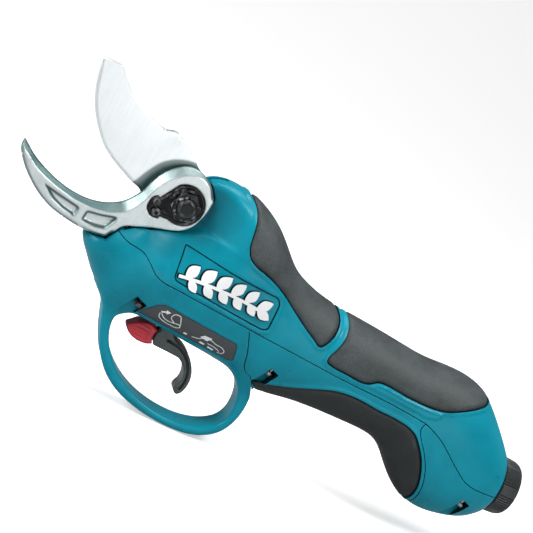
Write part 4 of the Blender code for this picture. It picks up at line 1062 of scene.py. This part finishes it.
shells = {name: build_shell(name, outline) for name, outline in SHELL_OUTLINES.items()}
drop(*head_rooms, socket_mouth, trigger_slot, inner, outer, solid_body, pocket_floor,
     *pockets.values())

# ------------------------------------------------------------------ grip pads
pad_back = pad_floor(1.75)
for name, (outline, to_pad, low, high, look) in PADS.items():
    pad = net(name, pad_skin(to_pad), low, high, 0.7)
    boolean(pad, prism(shrink(outline, PAD_INSET), -40, 40), "INTERSECT")
    cut(pad, pad_back, keep=True)
    keep_largest(pad)
    piece(pad, name, look, "housing", 40)
drop(pad_back)


# ------------------------------------------------------------------ badge and label
def strip(points, width):
    """A smooth line of a given width, as a closed outline."""
    c = curve(points, 5, closed=False)
    t = np.gradient(c, axis=0)
    t /= np.linalg.norm(t, axis=1)[:, None] + 1e-9
    n = np.stack([-t[:, 1], t[:, 0]], 1) * width / 2
    return np.vstack([c + n, (c - n)[::-1]])


def leaf(x, z, angle, size):
    """A pointed leaf growing from x, z at an angle in degrees."""
    c, s = math.cos(math.radians(angle)), math.sin(math.radians(angle))
    shape = [(0, 0), (0.22, 0.20), (0.52, 0.30), (0.80, 0.18), (1, 0), (0.80, -0.18),
             (0.52, -0.30), (0.22, -0.20)]
    return curve([(x + size * (u * c - v * s), z + size * (u * s + v * c)) for u, v in shape],
                 5, sharp=(0, 4))


def stamps(outlines, side):
    """The outlines joined as prisms on one side of the tool."""
    y0, y1 = (-40, -4) if side < 0 else (4, 40)
    o = prism(outlines[0], y0, y1)
    for outline in outlines[1:]:
        fuse(o, prism(outline, y0, y1))
    return o


def mark(name, look, outlines, side, levels, low, high, cell):
    """Outlines as thin skins between two heights over the teal surface, on one side."""
    middle, half = sum(levels) / 2, (levels[1] - levels[0]) / 2

    def field(x, y, z):
        return np.maximum(np.abs(teal(x, y, z) - middle) - half, -side * y + 6.0)

    y0, y1 = (-23.5, -6) if side < 0 else (6, 23.5)
    skin = net("slab", field, (low[0], y0, low[1]), (high[0], y1, high[1]), cell)
    boolean(skin, stamps(outlines, side), "INTERSECT")
    piece(skin, name, look, "housing", 40, replaces=False)
    return skin


# badge: a twig with paired leaves (x, z, upper leaf's size) and two leaves at its tip
twig = [strip([(10.6, -28.8), (20, -27.2), (30, -26.2), (40, -26), (50, -26.6), (56, -27.4)], 1.5)]
for x, z, size in ((13.6, -28, 8.6), (21, -26.9, 9.4), (28.6, -26.1, 9.4), (36.2, -25.9, 9),
                   (43.8, -26, 8.6)):
    twig += [leaf(x, z, 58, size), leaf(x + 2.2, z - 0.2, -38, size * 0.80)]
twig += [leaf(50.6, -26.5, 40, 8.6), leaf(51.2, -26.8, -18, 8.0)]

LINE = 0.38
signs = [
    # shear outline with its hook, and an arrow over them
    strip([(12, -49.4), (12.6, -51.6), (15.6, -53), (19.6, -53.4), (22.4, -53.3), (23.9, -52.4),
           (23.4, -51.2), (21.6, -51.2), (18.2, -51.8), (15, -51.2), (12.8, -49.4)], LINE),
    strip([(20.6, -51.4), (17.8, -49.2), (18.6, -46.9), (21.2, -46.6), (22.6, -48.8),
           (23.6, -51.2)], LINE),
    [(12, -48.4), (14.2, -47.3), (14.2, -46.7), (16.6, -47.2), (14.8, -48.9), (14.7, -48.1),
     (12.4, -49.1)],
    # a hand-held tool drawn open, and short dashes
    strip([(31.4, -53.8), (35, -52.9), (37, -51.3), (40.4, -51), (43, -51.8), (46.6, -52.2),
           (48.6, -53.6), (48.3, -55.2), (46, -55.8)], LINE),
    [(34.6, -51.8), (36.2, -50), (40.2, -49.9), (38.6, -52.4)],
    strip([(39.6, -53.5), (42, -53.5), (44.6, -54), (46.6, -54.8)], LINE),
    strip([(36, -54.6), (38.6, -54.8)], 0.9),
    strip([(40.6, -55.2), (43.8, -55.6)], 0.9),
    strip([(27, -53.9), (28.8, -53.9)], 0.9),
]


def sink_panels():
    """The badge's rim groove, the sunk surround of its mark, and the label's shallow seat."""
    upper = shells["upper_housing"]
    badge_box = ((2, -23.5, -42), (66, 23.5, -8), 0.9)
    groove = prism(shrink(badge_line, 0.10), -40, 40)
    cut(groove, prism(shrink(badge_line, 0.72), -45, 45), core(teal, 1.0, *badge_box))
    cut(upper, groove)
    # the surround is a little wider on its left and lower sides, seen from the near side, so its
    # walls' painted shade reads as the mark's shadow there
    floor = core(teal, 0.6, *badge_box)
    grown = [shrink(q, -0.42) + np.array([-0.30, -0.22]) for q in twig]
    for side in (-1, 1):
        sunk = stamps(grown, side)
        cut(sunk, floor, keep=True)
        cut(upper, sunk)
    drop(floor)
    seat = prism(label_line, -40, 40)
    cut(seat, core(teal, 0.75, (-4, -23.5, -64), (62, 23.5, -38), 0.9))
    cut(shells["guard_housing"], seat)
    for name in ("upper_housing", "guard_housing"):
        smooth(shells[name], 36)
        paint_recess_shade(shells[name], name)


sink_panels()
for side, tag in ((-1, "near"), (1, "far")):
    badge = mark(f"badge_mark_{tag}", "white", twig, side, (-0.95, 0.85), (8, -36), (62, -14),
                 0.45)
    # the raised mark's flanks take the dark finish as a painted shadow, its face is white
    badge.data.materials.append(MATERIALS["well"])
    for face in badge.data.polygons:
        face.material_index = 1 if abs(face.normal.y) < 0.45 else 0
    mark(f"label_plate_{tag}", "label", [shrink(label_line, 0.25)], side, (-1.05, 0.05),
         (0.5, -59.5), (57.5, -42.5), 0.5)
    mark(f"label_signs_{tag}", "white", signs, side, (-0.65, 0.14),
         (0.5, -59.5), (57.5, -42.5), 0.36)

# ------------------------------------------------------------------ anvil blade
ANVIL_AREA = ((-86, -36), (36, 22))
# outline of the lock plate's seat: an arc round the pivot and a lobe in front of it
LOCK_SEAT = np.array(
    arc((-0.9, 0.4), 10, [-112 + 6.7 * k for k in range(37)])
    + [tuple(p) for p in rounded([(-13.6, -0.2), (-16.3, -2.6), (-16.7, -7.4), (-14.6, -10.2),
                                  (-11.6, -11), (-8.6, -10.6)], 1.4, 3)])
to_anvil = Outline(curve(ANVIL, 8, sharp=ANVIL_SHARP), ANVIL_AREA, 0.2)
to_face = Outline(curve(ANVIL_FACE), ANVIL_AREA, 0.2)
to_pockets = [Outline(rounded(p, 1.6), ANVIL_AREA, 0.2) for p in ANVIL_POCKETS]
to_seat = Outline(LOCK_SEAT, ANVIL_AREA, 0.2)
to_tang = Outline([(7.6, -7.3), (31, -14), (31, -3), (8.8, 3.6)], ANVIL_AREA, 0.3)


def anvil(x, y, z):
    edge = to_anvil(x, z)
    dist = smax(edge, np.abs(y + 5.5) - 3.5, 0.7)
    # the concave side is ground down towards the cutting edge
    fall = np.minimum(np.maximum(to_face(x, z), 0.0) * 1.15, 5.4)
    dist = smax(dist, (-9.0 + fall - y) * 0.72, 0.5)
    # small bright land along the edge
    dist = smax(dist, (edge + 0.55 - (y + 2.0) * -0.28) * 0.96, 0.25)
    # chamfer along the outer, convex side
    dist = smax(dist, (edge + 1.5 - (y + 9.0) * 1.0 - 6.0 * rise(-26, -20, x)) * 0.71, 0.35)
    for to_pocket in to_pockets:
        hole = smax(to_pocket(x, z) + 0.62 * (y + 9.0), y + 6.6, 0.5)
        dist = smax(dist, -hole, 0.4)
    dist = smax(dist, -smax(to_seat(x, z) + 0.16 * (y + 9.0), y + 7.0, 0.3), 0.6)
    dist = np.minimum(dist, np.maximum(to_tang(x, z), np.abs(y + 2.9) - 0.7))
    for radius, centre in ((6.2, (0, 0)), (1.9, (27.5, -8.8)), (1.35, LOCK_SCREW)):
        dist = np.maximum(dist, radius - from_point(x, z, centre))
    return dist


def anvil_painted_shade(x, y, z):
    """Painted shade and reflection: a darker ground face, pocket walls and outer edge, a little
    lighter towards the pivot.
    """
    ground = rise(0.1, 0.5, to_face(x, z)) * (y < -2.3)
    inside = np.minimum.reduce([f(x, z) for f in to_pockets])
    wall = 0.85 * (inside < 0.7) * rise(-8.95, -8.5, y) * fade(-7.1, -6.7, y)
    outer_edge = 0.75 * rise(-8.9, -8.4, y) * (y < -2.3) * (inside > 0.7) * fade(-26, -22, x)
    return np.maximum(np.maximum(ground * (1 - 0.22 * rise(-34, -18, x)), wall), outer_edge)


o = net("anvil_blade", anvil, (-82.5, -10.2, -32.5), (32.5, -1, 19.5), 0.42, 3)
shade(o, anvil_painted_shade)
piece(o, "anvil_blade", "anvil", "housing", 50)

# ------------------------------------------------------------------ cutting blade
BLADE_AREA = ((-70, -34), (18, 50))
to_blade = Outline(curve(BLADE, 8, sharp=BLADE_SHARP), BLADE_AREA, 0.2)
to_edge = Outline(curve(EDGE_LINE, 8, closed=False), BLADE_AREA, 0.2, closed=False)
to_shadow_band = Outline(curve(BLADE_SHADOW_BAND, 4), BLADE_AREA, 0.2)


def blade(x, y, z):
    edge = to_edge(x, z)
    r = from_point(x, z)
    far = 1.7 - 0.42 * np.maximum(4.6 - edge, 0.0)
    near = -1.7 + 0.30 * np.maximum(1.3 - edge, 0.0)
    # lightly hollow ground, so it catches light unevenly along its length
    near = near + 0.16 * rise(2, 9, edge) * fade(26, 34, r)
    dist = smax(to_blade(x, z), y - far, 0.3)
    dist = smax(dist, near - y, 0.3)
    dist = np.maximum(dist, 7.4 - r)
    return np.maximum(dist, 2.62 - from_point(x, z, CRANK_PIN[::2]))


def blade_painted_shade(x, y, z):
    """Painted shade: a dark band round the pivot where the anvil's hub shadows the blade, stronger
    on the near side.
    """
    d = to_shadow_band(x, z)
    return np.where(y < 0, 1.0, 0.3) * fade(-0.9, 0.3, d) * (0.78 + 0.22 * fade(-4.0, -0.8, d))


o = net("cutting_blade", blade, (-67, -2.6, -29.5), (14, 2.6, 46.5), 0.45, 3)
shade(o, blade_painted_shade)
piece(o, "cutting_blade", "blade", "blade", 40)


# ------------------------------------------------------------------ pivot hardware
def hardware(o, name, sharp=30, look="bolt", replaces=True):
    piece(o, name, look, "housing", sharp, replaces)


def pivot_bolt():
    thread = []
    for k in range(7):
        thread += [(-13.2 + k * 0.8, 4.6), (-12.8 + k * 0.8, 4.3)]
    bolt = lathe([(-14.3, 0), (-14.3, 2.6), (-14.55, 2.9), (-14.6, 3.5), (-14.2, 4.1),
                  (-13.7, 4.45)] + thread
                 + [(-7, 4.6), (-6.4, 5.8), (7, 5.8), (7, 8.6), (7.5, 9), (10.8, 9),
                    (11.8, 8.6), (12.2, 7.8), (12.2, 0)], CENTRE, ALONG_Y, 96)
    cut(bolt, prism(arc((0, 0), 4, range(0, 360, 60)), 9.2, 14))
    hardware(bolt, "pivot_bolt")


def pivot_nut():
    """A hexagon with a slotted crown on its near side."""
    nut = prism(arc((0, 0), 7.4, range(12, 372, 60)), -11.3, -8.35)
    boolean(nut, lathe([(-8, 0), (-8, 8), (-10.4, 7.6), (-11.4, 6.6), (-11.4, 0)],
                       CENTRE, ALONG_Y, 72), "INTERSECT")
    crown = lathe([(-11, 0), (-11, 6.1), (-12.4, 6.1), (-12.7, 5.8), (-12.7, 0)],
                  CENTRE, ALONG_Y, 72)
    for k in range(3):
        q = math.radians(60 * k + 42)
        dx, dz = math.cos(q), math.sin(q)
        cut(crown, prism([(a * dx - b * dz, a * dz + b * dx) for a, b in
                          ((8, 0.75), (-8, 0.75), (-8, -0.75), (8, -0.75))], -14, -11.7))
    fuse(nut, crown)
    cut(nut, rod(CENTRE, ALONG_Y, -15, -4, 4.85, 64))
    hardware(round_edges(tidy(nut), 0.14), "pivot_nut")


def lock_plate():
    """Rimmed plate in its seat, with a stepped seat for the nut and two keeper lugs beside it."""
    plate = prism(shrink(LOCK_SEAT, 0.5), -8.1, -7.2)
    rim = prism(shrink(LOCK_SEAT, 0.5), -8.75, -7.3)
    cut(rim, prism(shrink(LOCK_SEAT, 1.5), -12, -7))
    fuse(plate, rim, lathe([(-7.4, 0), (-7.4, 9), (-8.2, 9), (-8.3, 8.6), (-8.3, 0)],
                           CENTRE, ALONG_Y, 80))
    for angle in (100, 152):
        c, s = math.cos(math.radians(angle)), math.sin(math.radians(angle))
        fuse(plate, box_along((8.15 * c, 8.15 * s), (-s, c), -1.5, 1.5, 0.55, -10.4, -7.6))
    cut(plate, rod(CENTRE, ALONG_Y, -14, -4, 6.1, 48),
        rod((LOCK_SCREW[0], 0, LOCK_SCREW[1]), ALONG_Y, -10, -3, 1.35, 24))
    hardware(round_edges(tidy(plate), 0.12), "lock_plate", look="black")

    screw = lathe([(-10.3, 0), (-10.3, 1.4), (-9.9, 2), (-9.4, 2.1), (-8.25, 2.1), (-8.25, 1.1),
                   (-4.8, 1.1), (-4.8, 0)], (LOCK_SCREW[0], 0, LOCK_SCREW[1]), ALONG_Y, 40)
    cut(screw, prism(arc(LOCK_SCREW, 1.1, range(20, 380, 60)), -11, -9.3))
    hardware(screw, "lock_plate_screw")
    stud = lathe([(-10.5, 0), (-10.45, 0.9), (-10.1, 1.5), (-9.5, 1.8), (-8.2, 1.8), (-8.2, 0)],
                 (-13.1, 0, -3.9), ALONG_Y, 40)
    hardware(stud, "lock_plate_stud", sharp=40, replaces=False)


pivot_bolt()
pivot_nut()
lock_plate()

# ------------------------------------------------------------------ trigger
TRIGGER_AREA = ((0, -92), (50, -40))
TRIGGER = [
    (16.6, -45.6), (23.4, -45.6), (24.9, -57.4), (27.8, -61), (33.2, -62.9), (37.4, -65.6),
    (40.8, -69.2), (43.3, -73.8), (44.2, -78.9), (43, -84.6), (41, -86), (38.6, -84),
    (40, -78.8), (39.4, -74.8), (37, -71.2), (33.4, -68.9), (29, -68.5),
    *arc(LEVER_PIN, 7, (216, 204, 192, 180, 168, 156, 146)), (18.6, -58.4), (16.2, -54)]
TRIGGER_SPINE = [
    (24.6, -63.1), (27.8, -63.2), (32, -64.1), (35.6, -66.2), (38.6, -69.2), (40.9, -73.6),
    (41.8, -78.6), (41.4, -83)]
to_trigger = Outline(curve(TRIGGER, 4, sharp=(0, 1, 2, 17, 23)), TRIGGER_AREA, 0.2)
to_spine = Outline(curve(TRIGGER_SPINE, closed=False), TRIGGER_AREA, 0.2, closed=False)
to_bay = Outline([(10, -56.8), (24.6, -58.8), (29.6, -61), (29.6, -66.9), (26, -67.4),
                  (10, -75)], TRIGGER_AREA, 0.3)


def trigger(x, y, z):
    half = 5.5 - 0.9 * rise(-76, -86, z) * rise(27, 33, x)
    dist = round_rim(to_trigger(x, z), np.abs(y) - half, 1.0)
    # side channel between two ribs that follow the hook
    dist = dist + (1.15 * fade(0.30, 0.85, to_spine(x, z)) * rise(2.5, 4.2, np.abs(y))
                   * rise(-57.5, -59.5, z))
    dist = np.maximum(dist, 1.65 - from_point(x, z, (20, -47.4)))
    pin = np.maximum(from_point(x, z, LEVER_PIN) - 1.35, np.abs(y) - 4.4)
    dist = np.maximum(dist, -pin)
    return np.maximum(dist, -np.maximum(to_bay(x, z), np.abs(y) - 2.0))


# Painted shade in the side channel between the ribs of the hook.
def trigger_painted_shade(x, y, z):
    return (0.9 * fade(0.25, 0.8, to_spine(x, z)) * (np.abs(y) > 2.6)
            * rise(-57.5, -59.5, z))


o = net("trigger", trigger, (14, -6.4, -88), (46, 6.4, -44), 0.36)
shade(o, trigger_painted_shade)
piece(o, "trigger", "trigger", "trigger", 50)

# ------------------------------------------------------------------ lock lever
LEVER = [
    (3.2, -64.7), (5.6, -62.5), (9, -60.2), (14, -59.4),
    *arc(LEVER_PIN, 7.5, (155, 163, 171, 180, 191, 202, 213)),
    (15.6, -69.4), (9.6, -69.3), (5.6, -67.6)]
to_lever = Outline(curve(LEVER, 4, sharp=(4, 10)), TRIGGER_AREA, 0.15)
to_ribs = [Outline(rounded([(7.6, top), (14.8, top - 0.5), (14.6, top - 1.5), (7.4, top - 1.0)],
                           0.4, 2), TRIGGER_AREA, 0.15)
           for top in (-60.9, -63.1, -65.3, -67.3)]
to_arm = Outline([(15, -62), (25, -61.6), (27.2, -63), (27.2, -65), (25, -66.4), (15, -66)],
                 TRIGGER_AREA, 0.2)


def lock_lever(x, y, z):
    nose = 1.6 * fade(3.0, 8.5, x)
    rib = np.minimum.reduce([f(x, z) for f in to_ribs])
    half = 5.0 - nose + 0.5 * fade(-0.15, 0.35, rib)
    dist = smax(to_lever(x, z), np.abs(y) - half, 1.4)
    dist = np.minimum(dist, np.maximum(to_arm(x, z), np.abs(y) - 1.7))
    return np.maximum(dist, 1.35 - from_point(x, z, LEVER_PIN))


o = net("lock_lever", lock_lever, (2, -6.2, -71), (28.5, 6.2, -57.5), 0.28)
piece(o, "lock_lever", "red", "lock_lever", 50)


# ------------------------------------------------------------------ cord socket end
def knurl(q, radius):
    """Six groups of grip ribs round the ring, on its outer face only."""
    angle = math.degrees(q) % 60.0
    if radius < 13.2 or angle > 40.0:
        return radius
    s = (angle % 5.0) / 5.0
    return radius - 0.75 * (0.5 - 0.5 * math.cos(2 * math.pi * s)) ** 0.7


ring = lathe([(211.4, 12.3), (211.4, 14), (211.7, 14.5), (212.2, 14.7), (215, 14.7),
              (218.6, 14.4), (220.2, 13.9), (221.2, 13.2), (221.5, 12.8), (221.2, 12.3)],
             (0, 0, SOCKET_Z), ALONG_X, 432, knurl)
piece(ring, "coupling_ring", "dark", "coupling_ring", 40)

socket = lathe([(190, 0), (190, 9.6), (201, 9.6), (201, 13.2), (203.6, 13.2), (203.6, 11.9),
                (210, 11.9), (210.6, 12), (220.2, 12), (220.8, 11.5), (220.8, 9.5), (220.3, 9),
                (206, 9), (206, 0)], (0, 0, SOCKET_Z), ALONG_X, 96)
for y in CONTACT_Y:
    cut(socket, rod((0, y, SOCKET_Z), ALONG_X, 188, 210, 1.75, 24))
# keyway in the mouth
cut(socket, prism([(205.5, -53.2), (222.5, -53.2), (222.5, -50.6), (205.5, -50.6)], -1.6, 1.6))
piece(tidy(socket), "cord_socket", "dark", "housing", 35)
for k, y in enumerate(CONTACT_Y):
    pin = lathe([(187.5, 0), (187.5, 1.45), (215.6, 1.45), (216.8, 1.25), (217.4, 0.8),
                 (217.6, 0)], (0, y, SOCKET_Z), ALONG_X, 32)
    piece(pin, f"contact_pin_{k + 1}", "brass", "housing", 40)


# ------------------------------------------------------------------ housing screws
def housing_screw(name, place, look):
    screw = lathe([(-2.2, 0), (-2.2, 2.1), (-1.8, 2.5), (-0.5, 2.5), (-0.1, 2.2), (-0.1, 1.25),
                   (6.4, 1.25), (6.4, 0)], place, SCREW_DIR, 40)
    along = Vector(SCREW_DIR).normalized()
    u = Vector((0, 1, 0))
    v = along.cross(u)
    start = Vector(place) - along * 2.6
    for k in range(3):      # star recess: three crossed bars
        q = math.radians(60 * k)
        a = u * math.cos(q) + v * math.sin(q)
        b = along.cross(a)
        verts = [tuple(start + along * t + a * m + b * n) for t in (0, 1.5)
                 for m, n in ((-1.35, -0.28), (1.35, -0.28), (1.35, 0.28), (-1.35, 0.28))]
        cut(screw, make("star", verts, [[0, 1, 2, 3], [7, 6, 5, 4], [0, 4, 5, 1],
                                        [1, 5, 6, 2], [2, 6, 7, 3], [3, 7, 4, 0]]))
    piece(tidy(screw), name, look, "housing", 30)


for i, (shell_name, (x, z, reach, *_)) in enumerate(SCREW_PAIRS.items()):
    # The guard housing's screws take the near-black bolt finish as painted shade in their deep
    # wells.
    look = "bolt" if shell_name == "guard_housing" else "screw"
    for k, side in enumerate((-1, 1)):
        housing_screw(f"housing_screw_{2 * i + k + 1}", (x, side * reach, z), look)

# ------------------------------------------------------------------ pieces kept from the frame
FRAME_LOOKS = {
    "alu": "head_frame gear_case motor_end_cap drive_yoke",
    "steel": "anvil_screw trigger_pin tail_pin planet_carrier motor_shaft",
    "bearing": "bearing_outer_race ring_gear stator_core motor_bearing_front motor_bearing_rear "
               "trigger_spring ball_nut ball_screw bearing_inner_race planet_gear_1 "
               "planet_gear_2 planet_gear_3 sun_gear",
    "black": "motor_can motor_rotor lock_lever_pin",
    "copper": "stator_winding_front stator_winding_rear",
    "pcb": "controller_board",
    "redwire": "motor_cable power_lead_plus",
    "blackwire": "power_lead_minus trigger_cable",
    "brass": "blade_bush",
}
look_of = {name: look for look, names in FRAME_LOOKS.items() for name in names.split()}
for name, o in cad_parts.items():
    if not o.hide_render:
        o.data.materials.clear()
        o.data.materials.append(MATERIALS[look_of.get(name, "dark")])


def hub_painted_shade(x, y, z):
    """Painted shade on the near side of the casing, round the hub and along the fixed blade, where
    they shadow it.
    """
    root = np.where(x < 8.0, to_anvil(np.minimum(x, 8.0), z), 99.0)
    d = np.minimum(from_point(x, z) - 13.5, root)
    return (0.45 * fade(-1.0, 2.2, d) + 0.34 * fade(1, 15, d)) * fade(-6, 2, y)


for name in ("upper_housing", "guard_housing"):
    shade(shells[name], hub_painted_shade)


# ------------------------------------------------------------------ stage, in scene metres
def paper():
    """Light paper that glows a little to the camera and is greyer to every other ray."""
    material = bpy.data.materials.new("paper")
    material.use_nodes = True
    tree = material.node_tree
    noise = add_node(tree, "TexNoise", {"Scale": 3.0})
    tone = add_node(tree, "MapRange", {
        "To Min": 0.86, "To Max": 0.90, "Value": noise.outputs["Fac"]}).outputs["Result"]
    grey = add_node(tree, "CombineColor", {0: tone, 1: tone, 2: tone}).outputs["Color"]
    camera_ray = add_node(tree, "LightPath").outputs["Is Camera Ray"]
    colour = mix_colour(tree, camera_ray, (0.42, 0.43, 0.44), grey)
    glow = add_node(tree, "Math", {0: camera_ray, 1: 0.50}, operation="MULTIPLY")
    plug(tree, tree.nodes["Principled BSDF"], {
        "Base Color": colour, "Emission Color": (1.0, 1.0, 1.0),
        "Emission Strength": glow.outputs[0], "Roughness": 0.9})
    return material


def build_floor():
    """A flat sweep that curves up into a wall behind the tool."""
    level = FLOOR_Z * MM
    rows = [(-3.0 + 3.6 * k / 11, level) for k in range(12)]
    for k in range(28):
        q = k / 27 * math.pi / 2
        rows.append((0.9 + 1.6 * math.sin(q), level + 1.6 * (1 - math.cos(q))))
    rows.append((2.5, level + 4.0))
    verts = [(x, y, z) for y, z in rows for x in (-5.0, 5.0)]
    faces = [[2 * k, 2 * k + 1, 2 * k + 3, 2 * k + 2] for k in range(len(rows) - 1)]
    mesh = bpy.data.meshes.new("floor")
    mesh.from_pydata(verts, [], faces)
    mesh.update()
    floor = link("floor", mesh)
    mesh.shade_smooth()
    mesh.materials.append(paper())


build_floor()
scene = bpy.context.scene
scene.view_settings.view_transform = "Standard"

# world: white to the camera, dim as a light
world = bpy.data.worlds.new("studio")
scene.world = world
world.use_nodes = True
tree = world.node_tree
path = add_node(tree, "LightPath")
strength = add_node(tree, "MapRange", {
    "To Min": 0.30, "To Max": 1.0, "Value": path.outputs["Is Camera Ray"]})
plug(tree, tree.nodes["Background"], {
    "Color": (1.0, 1.0, 1.0), "Strength": strength.outputs["Result"]})

# the camera's axes: towards it from the target, its right and its up
toward = Vector((-0.28108516, -0.93969262, 0.19485613))
right = Vector((0.86391892, -0.15935103, 0.47775658))
up = Vector((-0.4178938, 0.30263018, 0.85660945))
target = Vector((0.051107, 0.0146, -0.010491))
low_front = Vector((0.28, -0.94, -0.195))


def area(name, place, size, power):
    """Rectangular light aimed at the target; power in watts."""
    light = bpy.data.lights.new(name, "AREA")
    light.shape = "RECTANGLE"
    light.size, light.size_y = size
    light.energy = power
    o = link(name, light)
    o.location = place
    o.rotation_mode = "QUATERNION"
    o.rotation_quaternion = (target - place).to_track_quat("-Z", "Y")


area("key", place=target + up * 0.75 + toward * 0.60 - right * 0.62, size=(0.60, 0.42), power=9.6)
area("top", place=target + up * 0.9 + right * 0.35 + toward * 0.05, size=(0.9, 0.35), power=6.0)
area("front", place=target + low_front * 1.15 + up * 0.10 + right * 0.06, size=(0.62, 0.50),
     power=3.1)
area("side", place=target + up * 0.42 + toward * 0.50 + right * 0.95, size=(0.40, 0.40),
     power=8.5)

CAMERA_DISTANCE = 0.864
camera = bpy.data.cameras.new("camera")
camera.sensor_width = 36.0
camera.lens = 121.6
camera.clip_start, camera.clip_end = 0.05, 20.0
camera_object = link("camera", camera)
pose = Matrix.Identity(4)
for i in range(3):
    pose[i][0], pose[i][1], pose[i][2] = right[i], up[i], toward[i]
pose.translation = target + toward * CAMERA_DISTANCE
camera_object.matrix_world = pose
scene.camera = camera_object
